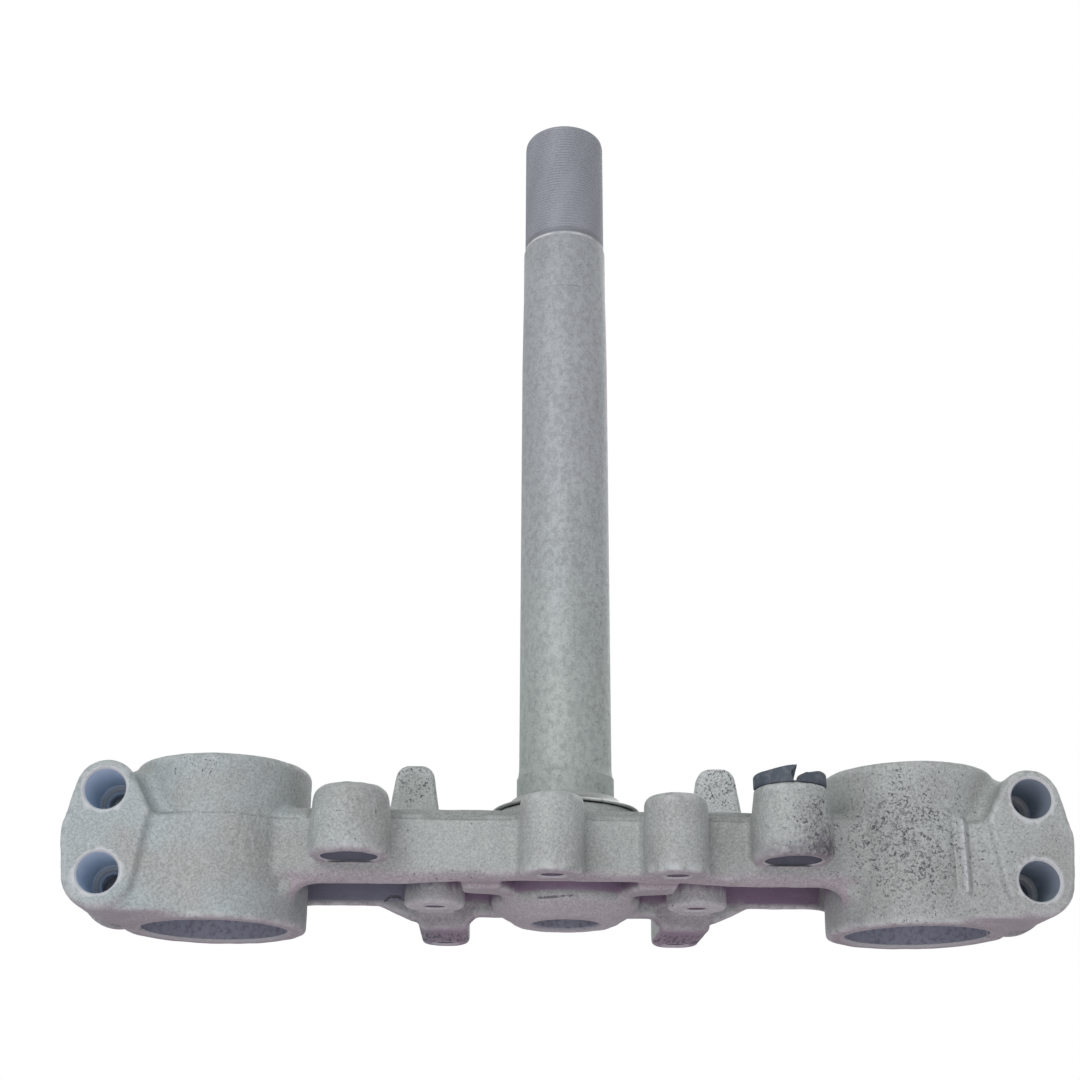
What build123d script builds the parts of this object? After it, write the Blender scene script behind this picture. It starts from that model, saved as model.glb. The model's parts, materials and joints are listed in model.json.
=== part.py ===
from build123d import *
import os

os.makedirs("parts", exist_ok=True)

# Sizes in millimetres. While it is built, Z = 0 is the underside of the fork clamps, the steering axis is Z,
# and the front of the motorcycle is towards -Y. The finished pieces are lowered to the bearing seat.

# fork clamps, cast in two mould halves that part at one height
fork_spacing = 191.0
fork_offset = 12.5
fork_bore = 39.0
clamp_wall = 5.0
clamp_height = 44.0
clamp_top_round = 2.5
clamp_bottom_round = 1.2
parting_height = 27.2
parting_ledge = 0.5
slit_width = 2.2

# pinch ears and the holes of their socket screws
pinch_wall = 7.3
pinch_inset = 11.0
pinch_seat = 10.8
pinch_seat_depth = 19.5
pinch_mouth = 0.6
pinch_clearance = 6.6
pinch_tap_drill = 5.0
ear_front = 25.9
ear_rear = 20.0
ear_low_wall = 4.1
ear_high_wall = 2.7
ear_belly_wall = 5.3
ear_corner = 12.2
ear_corner_round = 2.2
ear_rear_shrink = 3.6
ear_edge = 1.0
ear_blend = 3.0
gusset_inset = 0.4

# bridge: a channel that is open below, with a skirt under its rear wall
bridge_front = 30.3
bridge_rear_inset = 0.5
bridge_top = 30.8
bridge_bottom = 10.7
bridge_wall = 5.3
bridge_web = 7.0
bridge_bevel = 2.3
bridge_lower_round = 4.0
clamp_blend = 9.0
arch_blend = 8.0
pocket_round = 3.0
pocket_edge = 2.0
skirt_reach = 20.0
skirt_height = 8.0
skirt_drop = 2.2
skirt_round = 4.0

# hub and stem
stem_foot = 28.6
stem_clearance = 0.02
stem_bore = 18.5
hub_wall = 6.7
hub_bottom = 4.5
hub_floor_thickness = 3.6
hub_mouth = 3.5
hub_dome_rise = 2.4
hub_dome_height = 5.1
hub_dome_flank = 2.5
hub_dome_round = 2.4
hub_rise = 4.6
rib_inner = 19.0
rib_outer = 29.0
rib_root = 12.0
rib_rear_outer = 15.5
rib_rear_inner = 10.0
rib_bottom = 10.2
rib_thickness = 3.8
hub_draft = 1.0
hub_seat_width = 2.7
hub_seat_step = 0.8
journal = 28.0
journal_length = 6.6
journal_run_out = 2.6
tube = 26.7
tube_taper = 23.0
upper_journal = 26.1
upper_journal_length = 19.6
thread_diameter = 25.4
thread_length = 40.9
stem_length = 223.0
stem_chamfer = 1.6

# dust seal washer
washer_overhang = 0.15
washer_collar_wall = 1.7
washer_collar_height = 2.0
washer_rise = 3.2
washer_rim_thickness = 1.0
washer_lift = 0.6
washer_edge = 0.6

# large front bosses and the bush that is left in one of them
stay_inboard = 37.3
stay_stand_off = 5.9
stay_bore = 15.0
stay_wall_top = 2.2
stay_wall_middle = 3.5
stay_wall_bottom = 3.2
stay_bottom = 15.9
stay_middle = 23.0
stay_top = 35.2
stay_top_empty = 34.3
stay_edge = 0.6
stay_round = 3.2
stay_bottom_round = 1.6
boss_blend = 3.0
bush_fit = 0.05
bush_flange_height = 4.0
bush_bore = 9.0
bush_spigot = 9.0
bush_tear_left = -0.5
bush_tear_right = 1.3
bush_tear_hook = 0.9
bush_tear_tip = 0.6
bush_tear_lean = 3.2

# small front bosses
guide_xs = (-5.2, 27.6)
guide_stand_off = 6.3
guide_hole = 6.4
guide_wall = 5.3
guide_bottom = 11.5
guide_top = 32.6
guide_round = 2.6

# fender holes: a blind front pair under the bridge, a rear pair through the tabs
fender_hole = 6.2
fender_front_x = 36.7
fender_front_y = -1.9
fender_front_bottom = 8.7
fender_front_wall = 5.3
fender_front_cover = 4.5
fender_front_edge = 1.2
fender_rear_x = 34.2
fender_rear_y = 31.6
fender_rear_bottom = 3.6
tab_wall = 4.0
tab_height = 15.0
tab_edge = 1.0

# steering stops
stop_x = 43.0
stop_base = 16.6
stop_width = 10.0
stop_y = -2.0
stop_thickness = 7.0
stop_height = 17.8
stop_round = 4.0
stop_edge = 0.8

# how far features run into each other where they join, and past faces where they cut
overlap = 0.5
weld = 0.1
touching = 0.01
SIDES = (-1, 1)

# sizes that follow from the ones above
fork_x = fork_spacing / 2
clamp_radius = fork_bore / 2 + clamp_wall
upper_radius = clamp_radius - parting_ledge
pinch_x = fork_x + fork_bore / 2 + pinch_wall
pinch_low = pinch_inset
pinch_high = clamp_height - pinch_inset
ear_low = pinch_seat / 2 + ear_low_wall
ear_high = pinch_seat / 2 + ear_high_wall
ear_belly = pinch_seat / 2 + ear_belly_wall
bridge_rear = upper_radius - fork_offset - bridge_rear_inset
inner_front = -bridge_front + bridge_wall
inner_rear = bridge_rear - bridge_wall
ceiling = bridge_top - bridge_web
boss_root_top = (parting_height + bridge_top) / 2
hub_radius = stem_foot / 2 + hub_wall
hub_floor = hub_bottom + hub_floor_thickness
hub_shoulder = bridge_top + hub_rise
hub_seat_radius = stem_foot / 2 + hub_seat_width
hub_seat_height = hub_shoulder + hub_seat_step
bearing_seat = hub_seat_height + washer_rise
stem_top = bearing_seat + stem_length
upper_journal_top = stem_top - thread_length
upper_journal_bottom = upper_journal_top - upper_journal_length
stay_x = fork_x - stay_inboard
stay_y = -bridge_front - stay_stand_off
stay_radius_top = stay_bore / 2 + stay_wall_top
stay_radius_middle = stay_bore / 2 + stay_wall_middle
stay_radius_bottom = stay_bore / 2 + stay_wall_bottom
guide_y = -bridge_front - guide_stand_off
guide_radius = guide_hole / 2 + guide_wall
fender_front_radius = fender_hole / 2 + fender_front_wall
tab_half = fender_hole / 2 + tab_wall
tab_top = fender_rear_bottom + tab_height


def upright(radius, bottom, top, x=0.0, y=0.0):
    """a cylinder along Z between two heights"""
    return Pos(x, y, (bottom + top) / 2) * Cylinder(radius, top - bottom)


def slab(x0, x1, y0, y1, z0, z1):
    """a box between corner coordinates"""
    size = Box(abs(x1 - x0), y1 - y0, z1 - z0)
    return Pos((x0 + x1) / 2, (y0 + y1) / 2, (z0 + z1) / 2) * size


def top_edges(body):
    """the edges of a body's highest face"""
    return body.faces().sort_by(Axis.Z)[-1].edges()


def bottom_edges(body):
    """the edges of a body's lowest face"""
    return body.faces().sort_by(Axis.Z)[0].edges()


def eased(corners):
    """a closed outline from (x, y, round) corners; a round is a curve that starts that far from one"""
    spots = [(Vector(x, y), ease) for x, y, ease in corners]
    edges = []
    for i, (spot, ease) in enumerate(spots):
        before, ease_before = spots[i - 1]
        after = spots[(i + 1) % len(spots)][0]
        way_in, way_out = (spot - before).normalized(), (after - spot).normalized()
        edges.append(Line(before + way_in * ease_before, spot - way_in * ease))
        if ease:
            edges.append(Bezier(spot - way_in * ease, spot, spot + way_out * ease))
    return make_face(edges)


def turned(corners, x=0.0, y=0.0):
    """a solid of revolution about an upright axis, from (radius, height, round) corners"""
    return Pos(x, y, 0) * revolve(Plane.XZ * eased(corners), Axis.Z)


def clamp_ring(side):
    """fork clamp: a ring with the ledge of the parting line and a rounded top"""
    return turned([
        (0, 0, 0),
        (clamp_radius, 0, clamp_bottom_round),
        (clamp_radius, parting_height, 0),
        (upper_radius, parting_height, 0),
        (upper_radius, clamp_height, clamp_top_round),
        (0, clamp_height, 0),
    ], side * fork_x, -fork_offset)


def ear_outline(side, shrink):
    """the outline of an ear in the plane of X and Z: two lobes and a belly between them"""
    x = side * pinch_x
    lobes = Pos(x, pinch_low) * Circle(ear_low - shrink)
    lobes += Pos(x, pinch_high) * Circle(ear_high - shrink)
    lobes += Pos(x, (pinch_low + pinch_high) / 2) * Circle(ear_belly - shrink)
    return lobes


def blended_ear(side, ear, y0, y1):
    """an ear run into its clamp with a hollow round"""
    height = (clamp_bottom_round, clamp_height - clamp_top_round)
    tall = upright(upper_radius, -clamp_height, 2 * clamp_height, side * fork_x, -fork_offset)
    half = tall & slab(side * fork_x - clamp_radius, side * fork_x + clamp_radius, y0, y1,
                       -clamp_height, 2 * clamp_height)
    joined = half + ear
    joined = fillet(new_edges(half, ear, combined=joined), ear_blend)
    reach = 2 * clamp_radius + 2 * ear_belly
    return ear + (joined & slab(side * fork_x - reach, side * fork_x + reach, y0, y1, *height))


def pinch_ear(side):
    """the two halves of a clamp's ear: a shield in front of the slit, a smaller lug behind it"""
    middle = Plane.XZ.offset(fork_offset)
    corner = Pos(side * (pinch_x - ear_corner + ear_corner_round), parting_height) * Circle(ear_corner_round)
    shield = make_hull((ear_outline(side, 0) + corner).edges())
    front = extrude(middle * shield, ear_front)
    front = chamfer(front.faces().sort_by(Axis.Y)[0].edges(), ear_edge)
    rear = extrude(middle * make_hull(ear_outline(side, ear_rear_shrink).edges()), -ear_rear)
    rear = chamfer(rear.faces().sort_by(Axis.Y)[-1].edges(), ear_edge)
    front = blended_ear(side, front, -fork_offset - ear_front, -fork_offset)
    return front + blended_ear(side, rear, -fork_offset, -fork_offset + ear_rear)


def ear_gusset(side):
    """fills the corner between the lower half of a clamp and the front of its ear"""
    outline = Polyline(
        (side * fork_x, clamp_bottom_round),
        (side * pinch_x, pinch_low - ear_low + weld),
        (side * (pinch_x - ear_corner + ear_corner_round), parting_height - weld),
        (side * fork_x, parting_height - weld),
        close=True,
    )
    depth = clamp_radius - gusset_inset
    return extrude(Plane.XZ.offset(fork_offset) * make_face(outline), depth, dir=(0, -1, 0))


def pinch_holes(side):
    """counterbored screw holes through both halves of an ear"""
    cuts = []
    length = ear_front + ear_rear
    for z in (pinch_low, pinch_high):
        spot = Plane((side * pinch_x, -fork_offset - ear_front, z), x_dir=(1, 0, 0), z_dir=(0, 1, 0))
        seat = Pos(0, 0, pinch_seat_depth / 2) * Cylinder(pinch_seat / 2, pinch_seat_depth)
        mouth = Pos(0, 0, pinch_mouth / 2) * Cone(pinch_seat / 2 + pinch_mouth, pinch_seat / 2, pinch_mouth)
        plain = Pos(0, 0, ear_front / 2) * Cylinder(pinch_clearance / 2, ear_front)
        tapped = Pos(0, 0, length / 2) * Cylinder(pinch_tap_drill / 2, length)
        cuts += [spot * cut for cut in (seat, mouth, plain, tapped)]
    return cuts


def bridge_plan(inset):
    """plan of the bridge: a strip between the clamps, rounded where its front runs into them"""
    front = -bridge_front + inset
    rear = bridge_rear - inset
    plan = Pos(0, (front + rear) / 2) * Rectangle(fork_spacing, rear - front)
    for side in SIDES:
        plan += Pos(side * fork_x, -fork_offset) * Circle(upper_radius - inset / 2)
    corners = plan.vertices().filter_by(lambda v: abs(v.Y - front) < touching)
    return fillet(corners, clamp_blend)


def space_below_bridge():
    """the room between the clamps under the bridge, rounded where its top meets them"""
    reach = clamp_radius + 2 * arch_blend
    room = slab(-fork_x, fork_x, -fork_offset - reach, -fork_offset + reach, -overlap, bridge_bottom)
    for side in SIDES:
        clamp = upright(upper_radius - weld, -2 * overlap, bridge_bottom + overlap)
        room -= Pos(side * fork_x, -fork_offset, 0) * clamp
    return fillet(top_edges(room).filter_by(GeomType.CIRCLE), arch_blend)


def channel():
    """the hollow of the bridge between its walls and the clamps"""
    middle = (inner_front + inner_rear) / 2
    plan = Pos(0, middle) * Rectangle(fork_spacing, inner_rear - inner_front)
    for side in SIDES:
        plan -= Pos(side * fork_x, -fork_offset) * Circle(upper_radius - 2 * weld)
    plan = fillet(plan.vertices(), pocket_round)
    hollow = Pos(0, 0, -overlap) * extrude(plan, ceiling + overlap)
    return chamfer(top_edges(hollow), pocket_edge)


def bridge():
    """the bridge: walls and web, bevelled above the parting line and arched into the clamps"""
    body = Pos(0, 0, bridge_bottom) * extrude(bridge_plan(0), bridge_top - bridge_bottom)
    body = fillet(bottom_edges(body), bridge_lower_round)
    top = body.faces().sort_by(Axis.Z)[-1]
    body = chamfer(top.edges(), bridge_bevel, bridge_top - parting_height, reference=top)
    arch_height = bridge_bottom + bridge_lower_round - clamp_bottom_round
    arches = Pos(0, 0, clamp_bottom_round) * extrude(bridge_plan(bridge_lower_round / 2), arch_height)
    return body + (arches - space_below_bridge()) - channel()


def rear_skirt():
    """the rear wall's lower edge, which dips to the tabs and the hub between them"""
    outer, inner = fender_rear_x + tab_half, fender_rear_x - tab_half
    low = skirt_height - skirt_drop
    half = [
        (outer + skirt_reach, bridge_bottom + bridge_lower_round, 0),
        (outer, low, skirt_round),
        (inner, low, skirt_round / 2),
        (inner - skirt_drop, skirt_height, 0),
    ]
    face = eased(half + [(-x, z, ease) for x, z, ease in half[::-1]])
    return extrude(Plane.XZ.offset(-inner_rear) * face, -bridge_wall)


def hub():
    """the hub: a domed underside, a shoulder and the raised seat of the washer"""
    return turned([
        (0, hub_bottom, 0),
        (stem_bore / 2 + hub_mouth, hub_bottom, hub_dome_round / 2),
        (hub_radius - hub_dome_flank, hub_bottom + hub_dome_rise, hub_dome_round),
        (hub_radius, hub_bottom + hub_dome_height, 0),
        (hub_radius, bridge_top, 0),
        (hub_radius - hub_draft, hub_shoulder, 0),
        (hub_seat_radius, hub_shoulder, 0),
        (hub_seat_radius, hub_seat_height, 0),
        (0, hub_seat_height, 0),
    ])


def hub_rib(side):
    """plate across the open channel, from the front wall back to the hub"""
    plan = Polyline(
        (side * rib_inner, inner_front - weld),
        (side * rib_outer, inner_front - weld),
        (side * rib_outer, -rib_rear_outer),
        (side * rib_root, -rib_rear_inner),
        close=True,
    )
    return Pos(0, 0, rib_bottom) * extrude(make_face(plan), rib_thickness, dir=(0, 0, 1))


def hub_cuts():
    """the seat of the stem and the smaller hole in the hub's floor"""
    seat = upright(stem_foot / 2 + stem_clearance, hub_floor, hub_seat_height + overlap)
    return [seat, upright(stem_bore / 2, hub_bottom - overlap, hub_floor + overlap)]


def boss_root(x, y, radius, wall_y, bottom, top):
    """the foot of a round boss, run into a wall with hollow rounds"""
    behind = 1 if wall_y > y else -1
    face_y = wall_y + behind * weld
    strip = Rectangle(2 * radius + 6 * boss_blend, bridge_wall / 2)
    plan = Pos(x, y) * Circle(radius) + Pos(x, face_y + behind * bridge_wall / 4) * strip
    corners = plan.vertices().filter_by(lambda v: abs(v.Y - face_y) < touching and abs(v.X - x) < radius)
    return Pos(0, 0, bottom) * extrude(fillet(corners, boss_blend), top - bottom)


def stay_boss(side):
    """large barrel-shaped front boss; the empty one has a rounded top"""
    top, edge = (stay_top, stay_edge) if side > 0 else (stay_top_empty, stay_round)
    barrel = turned([
        (0, stay_bottom, 0),
        (stay_radius_bottom, stay_bottom, stay_bottom_round),
        (stay_radius_middle, stay_middle, (stay_middle - stay_bottom) / 2),
        (stay_radius_top, top, edge),
        (0, top, 0),
    ], side * stay_x, stay_y)
    root_bottom = stay_bottom + stay_bottom_round
    root = boss_root(side * stay_x, stay_y, stay_radius_top, -bridge_front, root_bottom, boss_root_top)
    return barrel + root


def guide_boss(x):
    """small front boss with a rounded top"""
    body = turned([
        (0, guide_bottom, 0),
        (guide_radius, guide_bottom, 0),
        (guide_radius, guide_top, guide_round),
        (0, guide_top, 0),
    ], x, guide_y)
    return body + boss_root(x, guide_y, guide_radius, -bridge_front, guide_bottom, boss_root_top)


def fender_post(side):
    """front fender boss, hanging from the web and run into the rear wall of the channel"""
    x = side * fender_front_x
    post = turned([
        (0, fender_front_bottom, 0),
        (fender_front_radius, fender_front_bottom, fender_front_edge),
        (fender_front_radius, ceiling + overlap, 0),
        (0, ceiling + overlap, 0),
    ], x, fender_front_y)
    root_bottom = bridge_bottom + fender_front_edge
    root = boss_root(x, fender_front_y, fender_front_radius, inner_rear, root_bottom, ceiling + overlap)
    return post + root


def rear_tab(side):
    """rear fender tab behind the bridge"""
    x = side * fender_rear_x
    plan = Pos(x, fender_rear_y) * Circle(tab_half)
    plan += Pos(x, (inner_rear + fender_rear_y) / 2) * Rectangle(2 * tab_half, fender_rear_y - inner_rear)
    tab = Pos(0, 0, fender_rear_bottom) * extrude(plan, tab_height)
    return chamfer(bottom_edges(tab), tab_edge)


def steering_stop(side):
    """upright tab on top of the bridge, narrower towards its rounded top"""
    x = side * stop_x
    foot = bridge_top - bridge_web / 2
    head = bridge_top + stop_height
    outline = Polyline(
        (x - stop_base / 2, foot),
        (x + stop_base / 2, foot),
        (x + stop_width / 2, head),
        (x - stop_width / 2, head),
        close=True,
    )
    face = make_face(outline)
    face = fillet(face.vertices().sort_by(Axis.Y)[-2:], stop_round)
    front = stop_y - stop_thickness / 2
    stop = extrude(Plane.XZ.offset(-front) * face, -stop_thickness)
    faces = stop.faces().sort_by(Axis.Y)
    return chamfer(faces[0].edges() + faces[-1].edges(), stop_edge)


def clamp_cuts(side):
    """the bore of a fork clamp, its slit and the screw holes of its ear"""
    x = side * fork_x
    bore = upright(fork_bore / 2, -overlap, clamp_height + overlap, x, -fork_offset)
    slit = slab(x, side * (pinch_x + ear_belly + overlap), -fork_offset - slit_width / 2,
                -fork_offset + slit_width / 2, -overlap, clamp_height + overlap)
    return [bore, slit] + pinch_holes(side)


def small_holes():
    """the bores of the front bosses and the fender holes"""
    cuts = []
    for side in SIDES:
        cuts.append(upright(stay_bore / 2, stay_bottom - overlap, stay_top + overlap, side * stay_x, stay_y))
        cuts.append(upright(fender_hole / 2, fender_front_bottom - overlap, bridge_top - fender_front_cover,
                            side * fender_front_x, fender_front_y))
        cuts.append(upright(fender_hole / 2, fender_rear_bottom - overlap, tab_top + overlap,
                            side * fender_rear_x, fender_rear_y))
    for x in guide_xs:
        cuts.append(upright(guide_hole / 2, guide_bottom - overlap, guide_top + overlap, x, guide_y))
    return cuts


FEATURES = (hub_rib, clamp_ring, pinch_ear, ear_gusset, stay_boss, fender_post, rear_tab, steering_stop)


def lower_yoke():
    """the casting in one piece"""
    body = bridge() + rear_skirt() + hub()
    for side in SIDES:
        for feature in FEATURES:
            body += feature(side)
    for x in guide_xs:
        body += guide_boss(x)
    for cut in hub_cuts() + clamp_cuts(-1) + clamp_cuts(1) + small_holes():
        body -= cut
    return body


def steering_stem():
    """hollow stem: foot and lower journal, tube, upper journal and threaded end"""
    journal_top = bearing_seat + journal_length
    run_out = (upper_journal - thread_diameter) / 2
    profile = Polyline(
        (stem_bore / 2, hub_floor),
        (stem_foot / 2, hub_floor),
        (stem_foot / 2, bearing_seat),
        (journal / 2, bearing_seat),
        (journal / 2, journal_top),
        (tube / 2, journal_top + journal_run_out),
        (tube / 2, upper_journal_bottom - tube_taper),
        (upper_journal / 2, upper_journal_bottom),
        (upper_journal / 2, upper_journal_top - run_out),
        (thread_diameter / 2, upper_journal_top),
        (thread_diameter / 2, stem_top - stem_chamfer),
        (thread_diameter / 2 - stem_chamfer, stem_top),
        (stem_bore / 2, stem_top),
        close=True,
    )
    return revolve(Plane.XZ * make_face(profile), Axis.Z)


def dust_seal_washer():
    """dished ring on the hub's seat; its rim stands clear of the shoulder"""
    inner = stem_foot / 2 + stem_clearance
    collar = stem_foot / 2 + washer_collar_wall
    rim = hub_radius + washer_overhang
    rim_under = hub_shoulder + washer_lift
    collar_top = hub_seat_height + washer_collar_height
    profile = Polyline(
        (inner, hub_seat_height),
        (hub_seat_radius, hub_seat_height),
        (rim, rim_under),
        (rim, rim_under + washer_rim_thickness),
        (collar, collar_top),
        (collar - washer_edge, bearing_seat),
        (inner, bearing_seat),
        close=True,
    )
    return revolve(Plane.XZ * make_face(profile), Axis.Z)


def stay_bush():
    """flanged bush in the right boss, torn open at the front of its flange by a hooked, leaning gap"""
    radius = stay_radius_top
    flange_top = stay_top + bush_flange_height
    bottom = stay_top - bush_spigot
    body = upright(stay_bore / 2 - bush_fit, bottom, stay_top + overlap)
    body += upright(radius, stay_top, flange_top)
    body -= upright(bush_bore / 2, bottom - overlap, flange_top + overlap)
    middle = stay_top + bush_flange_height / 2
    gap = Polyline(
        (bush_tear_left, stay_top),
        (bush_tear_left - bush_tear_hook, middle),
        (bush_tear_left + bush_tear_tip, flange_top + overlap),
        (bush_tear_right + bush_tear_lean, flange_top + overlap),
        (bush_tear_right, stay_top),
        close=True,
    )
    body -= extrude(Plane.XZ * make_face(gap), radius + overlap)
    return Pos(stay_x, stay_y, 0) * body


PIECES = {
    "lower_yoke": lower_yoke,
    "steering_stem": steering_stem,
    "dust_seal_washer": dust_seal_washer,
    "stay_bush": stay_bush,
}

for name, make in PIECES.items():
    export_step(Pos(0, 0, -bearing_seat) * make(), f"parts/{name}.step")
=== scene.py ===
import json
import logging
import math
from dataclasses import dataclass, field
from enum import Enum
from functools import reduce
from operator import or_

import bmesh
import bpy
import numpy as np
from mathutils import Matrix, Vector


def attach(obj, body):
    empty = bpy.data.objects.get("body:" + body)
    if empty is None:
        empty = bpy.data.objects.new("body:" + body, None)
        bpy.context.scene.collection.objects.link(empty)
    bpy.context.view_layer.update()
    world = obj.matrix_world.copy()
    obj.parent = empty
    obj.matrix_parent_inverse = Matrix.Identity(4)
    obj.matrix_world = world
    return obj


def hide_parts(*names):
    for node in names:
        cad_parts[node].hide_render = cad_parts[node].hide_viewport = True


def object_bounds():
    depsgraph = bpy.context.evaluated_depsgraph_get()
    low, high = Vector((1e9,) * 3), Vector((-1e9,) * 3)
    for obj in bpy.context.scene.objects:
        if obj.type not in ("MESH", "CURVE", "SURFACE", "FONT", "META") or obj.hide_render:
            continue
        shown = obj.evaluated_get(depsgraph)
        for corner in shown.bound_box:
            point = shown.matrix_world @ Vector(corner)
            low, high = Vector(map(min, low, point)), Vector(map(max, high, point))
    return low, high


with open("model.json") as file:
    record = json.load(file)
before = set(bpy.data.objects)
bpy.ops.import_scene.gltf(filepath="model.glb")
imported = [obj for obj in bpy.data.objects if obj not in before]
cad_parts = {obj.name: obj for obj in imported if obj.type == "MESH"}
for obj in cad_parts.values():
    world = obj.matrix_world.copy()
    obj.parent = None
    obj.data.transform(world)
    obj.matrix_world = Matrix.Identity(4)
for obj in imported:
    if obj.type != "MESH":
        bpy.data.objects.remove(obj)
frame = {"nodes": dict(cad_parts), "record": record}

LOG = logging.getLogger("triple_clamp")
MM = 0.001
CAD_BOX = [list(corner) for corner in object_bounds()]
BENCH = -CAD_BOX[0][2] / MM  # how far the row's origin lies above the clamps' undersides, in millimetres
BODY = "root"
PICTURE = 1080.0  # the photograph's width and height in pixels

Colour = tuple[float, float, float]
Place = tuple[float, float, float]
Span = tuple[float, float]
Profile = np.ndarray | list[Span]


class Slot(Enum):
    """The record's material slots, one listed with each piece; the finishes come from the finish classes."""

    YOKE = "cast_yoke"
    STEM = "stem"
    WASHER = "washer"
    BUSH = "bush"


class Side(Enum):
    """The two fork sides, as seen from the front of the motorcycle."""

    LEFT = -1
    RIGHT = 1


@dataclass(frozen=True)
class Fitting:
    """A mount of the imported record, in millimetres above the clamps' undersides."""

    centre: np.ndarray
    radius: float
    length: float
    spacing: float

    @classmethod
    def on(cls, side: Side, kind: str) -> "Fitting":
        """Read one side's mount of a kind."""
        return cls.named(f"{side.name.lower()}_{kind}")

    @classmethod
    def named(cls, name: str) -> "Fitting":
        """Read one mount of the record.

        Args:
            name: the mount's name.

        Returns:
            Its centre, radius, wall length and hole spacing; a size that it lacks is 0.
        """
        mount = next(m for m in frame["record"]["mounts"] if m["name"] == name)
        sizes = mount["dims"]
        centre = np.array(mount["pos_m"]) / MM + (0.0, 0.0, BENCH)
        radius = sizes.get("r_mm", sizes.get("hole_r_mm", 0.0))
        spacing = sizes.get("spacing_x_mm", sizes.get("spacing_y_mm", 0.0))
        return cls(centre, radius, sizes.get("length_mm", 0.0), spacing)


def smoothstep(low: float, high: float, value: np.ndarray) -> np.ndarray:
    """Rise from 0 at low to 1 at high along 3t^2 - 2t^3."""
    t = np.clip((value - low) / (high - low), 0.0, 1.0)
    return t * t * (3.0 - 2.0 * t)


def fall(low: float, high: float, value: np.ndarray) -> np.ndarray:
    """Fall from 1 at low to 0 at high: 1 less the smooth step."""
    return 1.0 - smoothstep(low, high, value)


def band(value: np.ndarray, up: Span, down: Span) -> np.ndarray:
    """Rise smoothly from 0 to 1 over one stretch of a value and fall back over another."""
    return smoothstep(*up, value) * fall(*down, value)


def arc(centre: Span, radius: float, angles: np.ndarray) -> np.ndarray:
    """The (radius, height) points of a profile's arc: centre + radius (cos a, sin a)."""
    return np.array(centre) + radius * np.stack([np.cos(angles), np.sin(angles)], 1)


def waves(points: np.ndarray, wavelength: float, seed: int, count: int = 20) -> np.ndarray:
    """Uneven relief: the mean of plane waves with seeded directions, lengths and phases.

    Args:
        points: places, one row each, in millimetres.
        wavelength: the middle wavelength in millimetres.
        seed: the seed of the draws.
        count: how many waves are added.

    Returns:
        One height for each point, about -1 to 1.
    """
    draw = np.random.default_rng(seed)
    way = draw.normal(size=(count, 3))
    way /= np.linalg.norm(way, axis=1)[:, None]
    number = 2.0 * math.pi / (wavelength * draw.uniform(0.6, 1.5, count))
    phase = draw.uniform(0.0, 2.0 * math.pi, count)
    return np.sin(points @ (way * number[:, None]).T + phase).sum(1) * math.sqrt(2.0 / count) / 1.6


@dataclass
class Surface:
    """Points in millimetres above the clamps' undersides, and the faces between them."""

    points: np.ndarray
    quads: np.ndarray
    caps: list[list[int]] = field(default_factory=list)

    def __add__(self, other: "Surface") -> "Surface":
        """Both surfaces as one mesh of separate shells."""
        shift = len(self.points)
        return Surface(
            np.vstack([self.points, other.points]),
            np.vstack([self.quads, other.quads + shift]),
            self.caps + [[i + shift for i in cap] for cap in other.caps],
        )

    def mesh(self, name: str) -> bpy.types.Mesh:
        """The surface as mesh data in the row's frame, in metres."""
        data = bpy.data.meshes.new(name)
        place = (self.points - (0.0, 0.0, BENCH)) * MM
        data.from_pydata(place.tolist(), [], self.quads.tolist() + self.caps)
        data.validate()
        return data

    def piece(self, name: str) -> bpy.types.Object:
        """The surface as an object of the scene."""
        made = bpy.data.objects.new(name, self.mesh(name))
        bpy.context.scene.collection.objects.link(made)
        return made

    def closed_piece(self, name: str, sharp_angle: float) -> bpy.types.Object:
        """The surface as a smooth piece whose doubles are merged and whose faces look outwards."""
        made = self.piece(name)
        work = bmesh.new()
        work.from_mesh(made.data)
        bmesh.ops.remove_doubles(work, verts=work.verts, dist=1e-7)
        bmesh.ops.recalc_face_normals(work, faces=work.faces)
        work.to_mesh(made.data)
        work.free()
        smooth(made.data, sharp_angle)
        return made


def grid_quads(rows: int, columns: int, closed: bool) -> np.ndarray:
    """Index the quads of a rows by columns grid of points whose last column joins the first.

    Args:
        rows: points along the first parameter.
        columns: points along the second parameter.
        closed: whether the last row joins the first as well.

    Returns:
        Four point numbers for each quad.
    """
    i = np.arange(rows if closed else rows - 1)[:, None]
    j = np.arange(columns)[None, :]
    down, across = (i + 1) % rows, (j + 1) % columns
    corners = [i * columns + j, i * columns + across, down * columns + across, down * columns + j]
    return np.stack(np.broadcast_arrays(*corners), -1).reshape(-1, 4)


class Way(Enum):
    """The directions that turned shapes point in, each with two directions across it."""

    UP = ((0, 0, 1), (1, 0, 0), (0, 1, 0))
    BACK = ((0, 1, 0), (0, 0, 1), (1, 0, 0))


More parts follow.
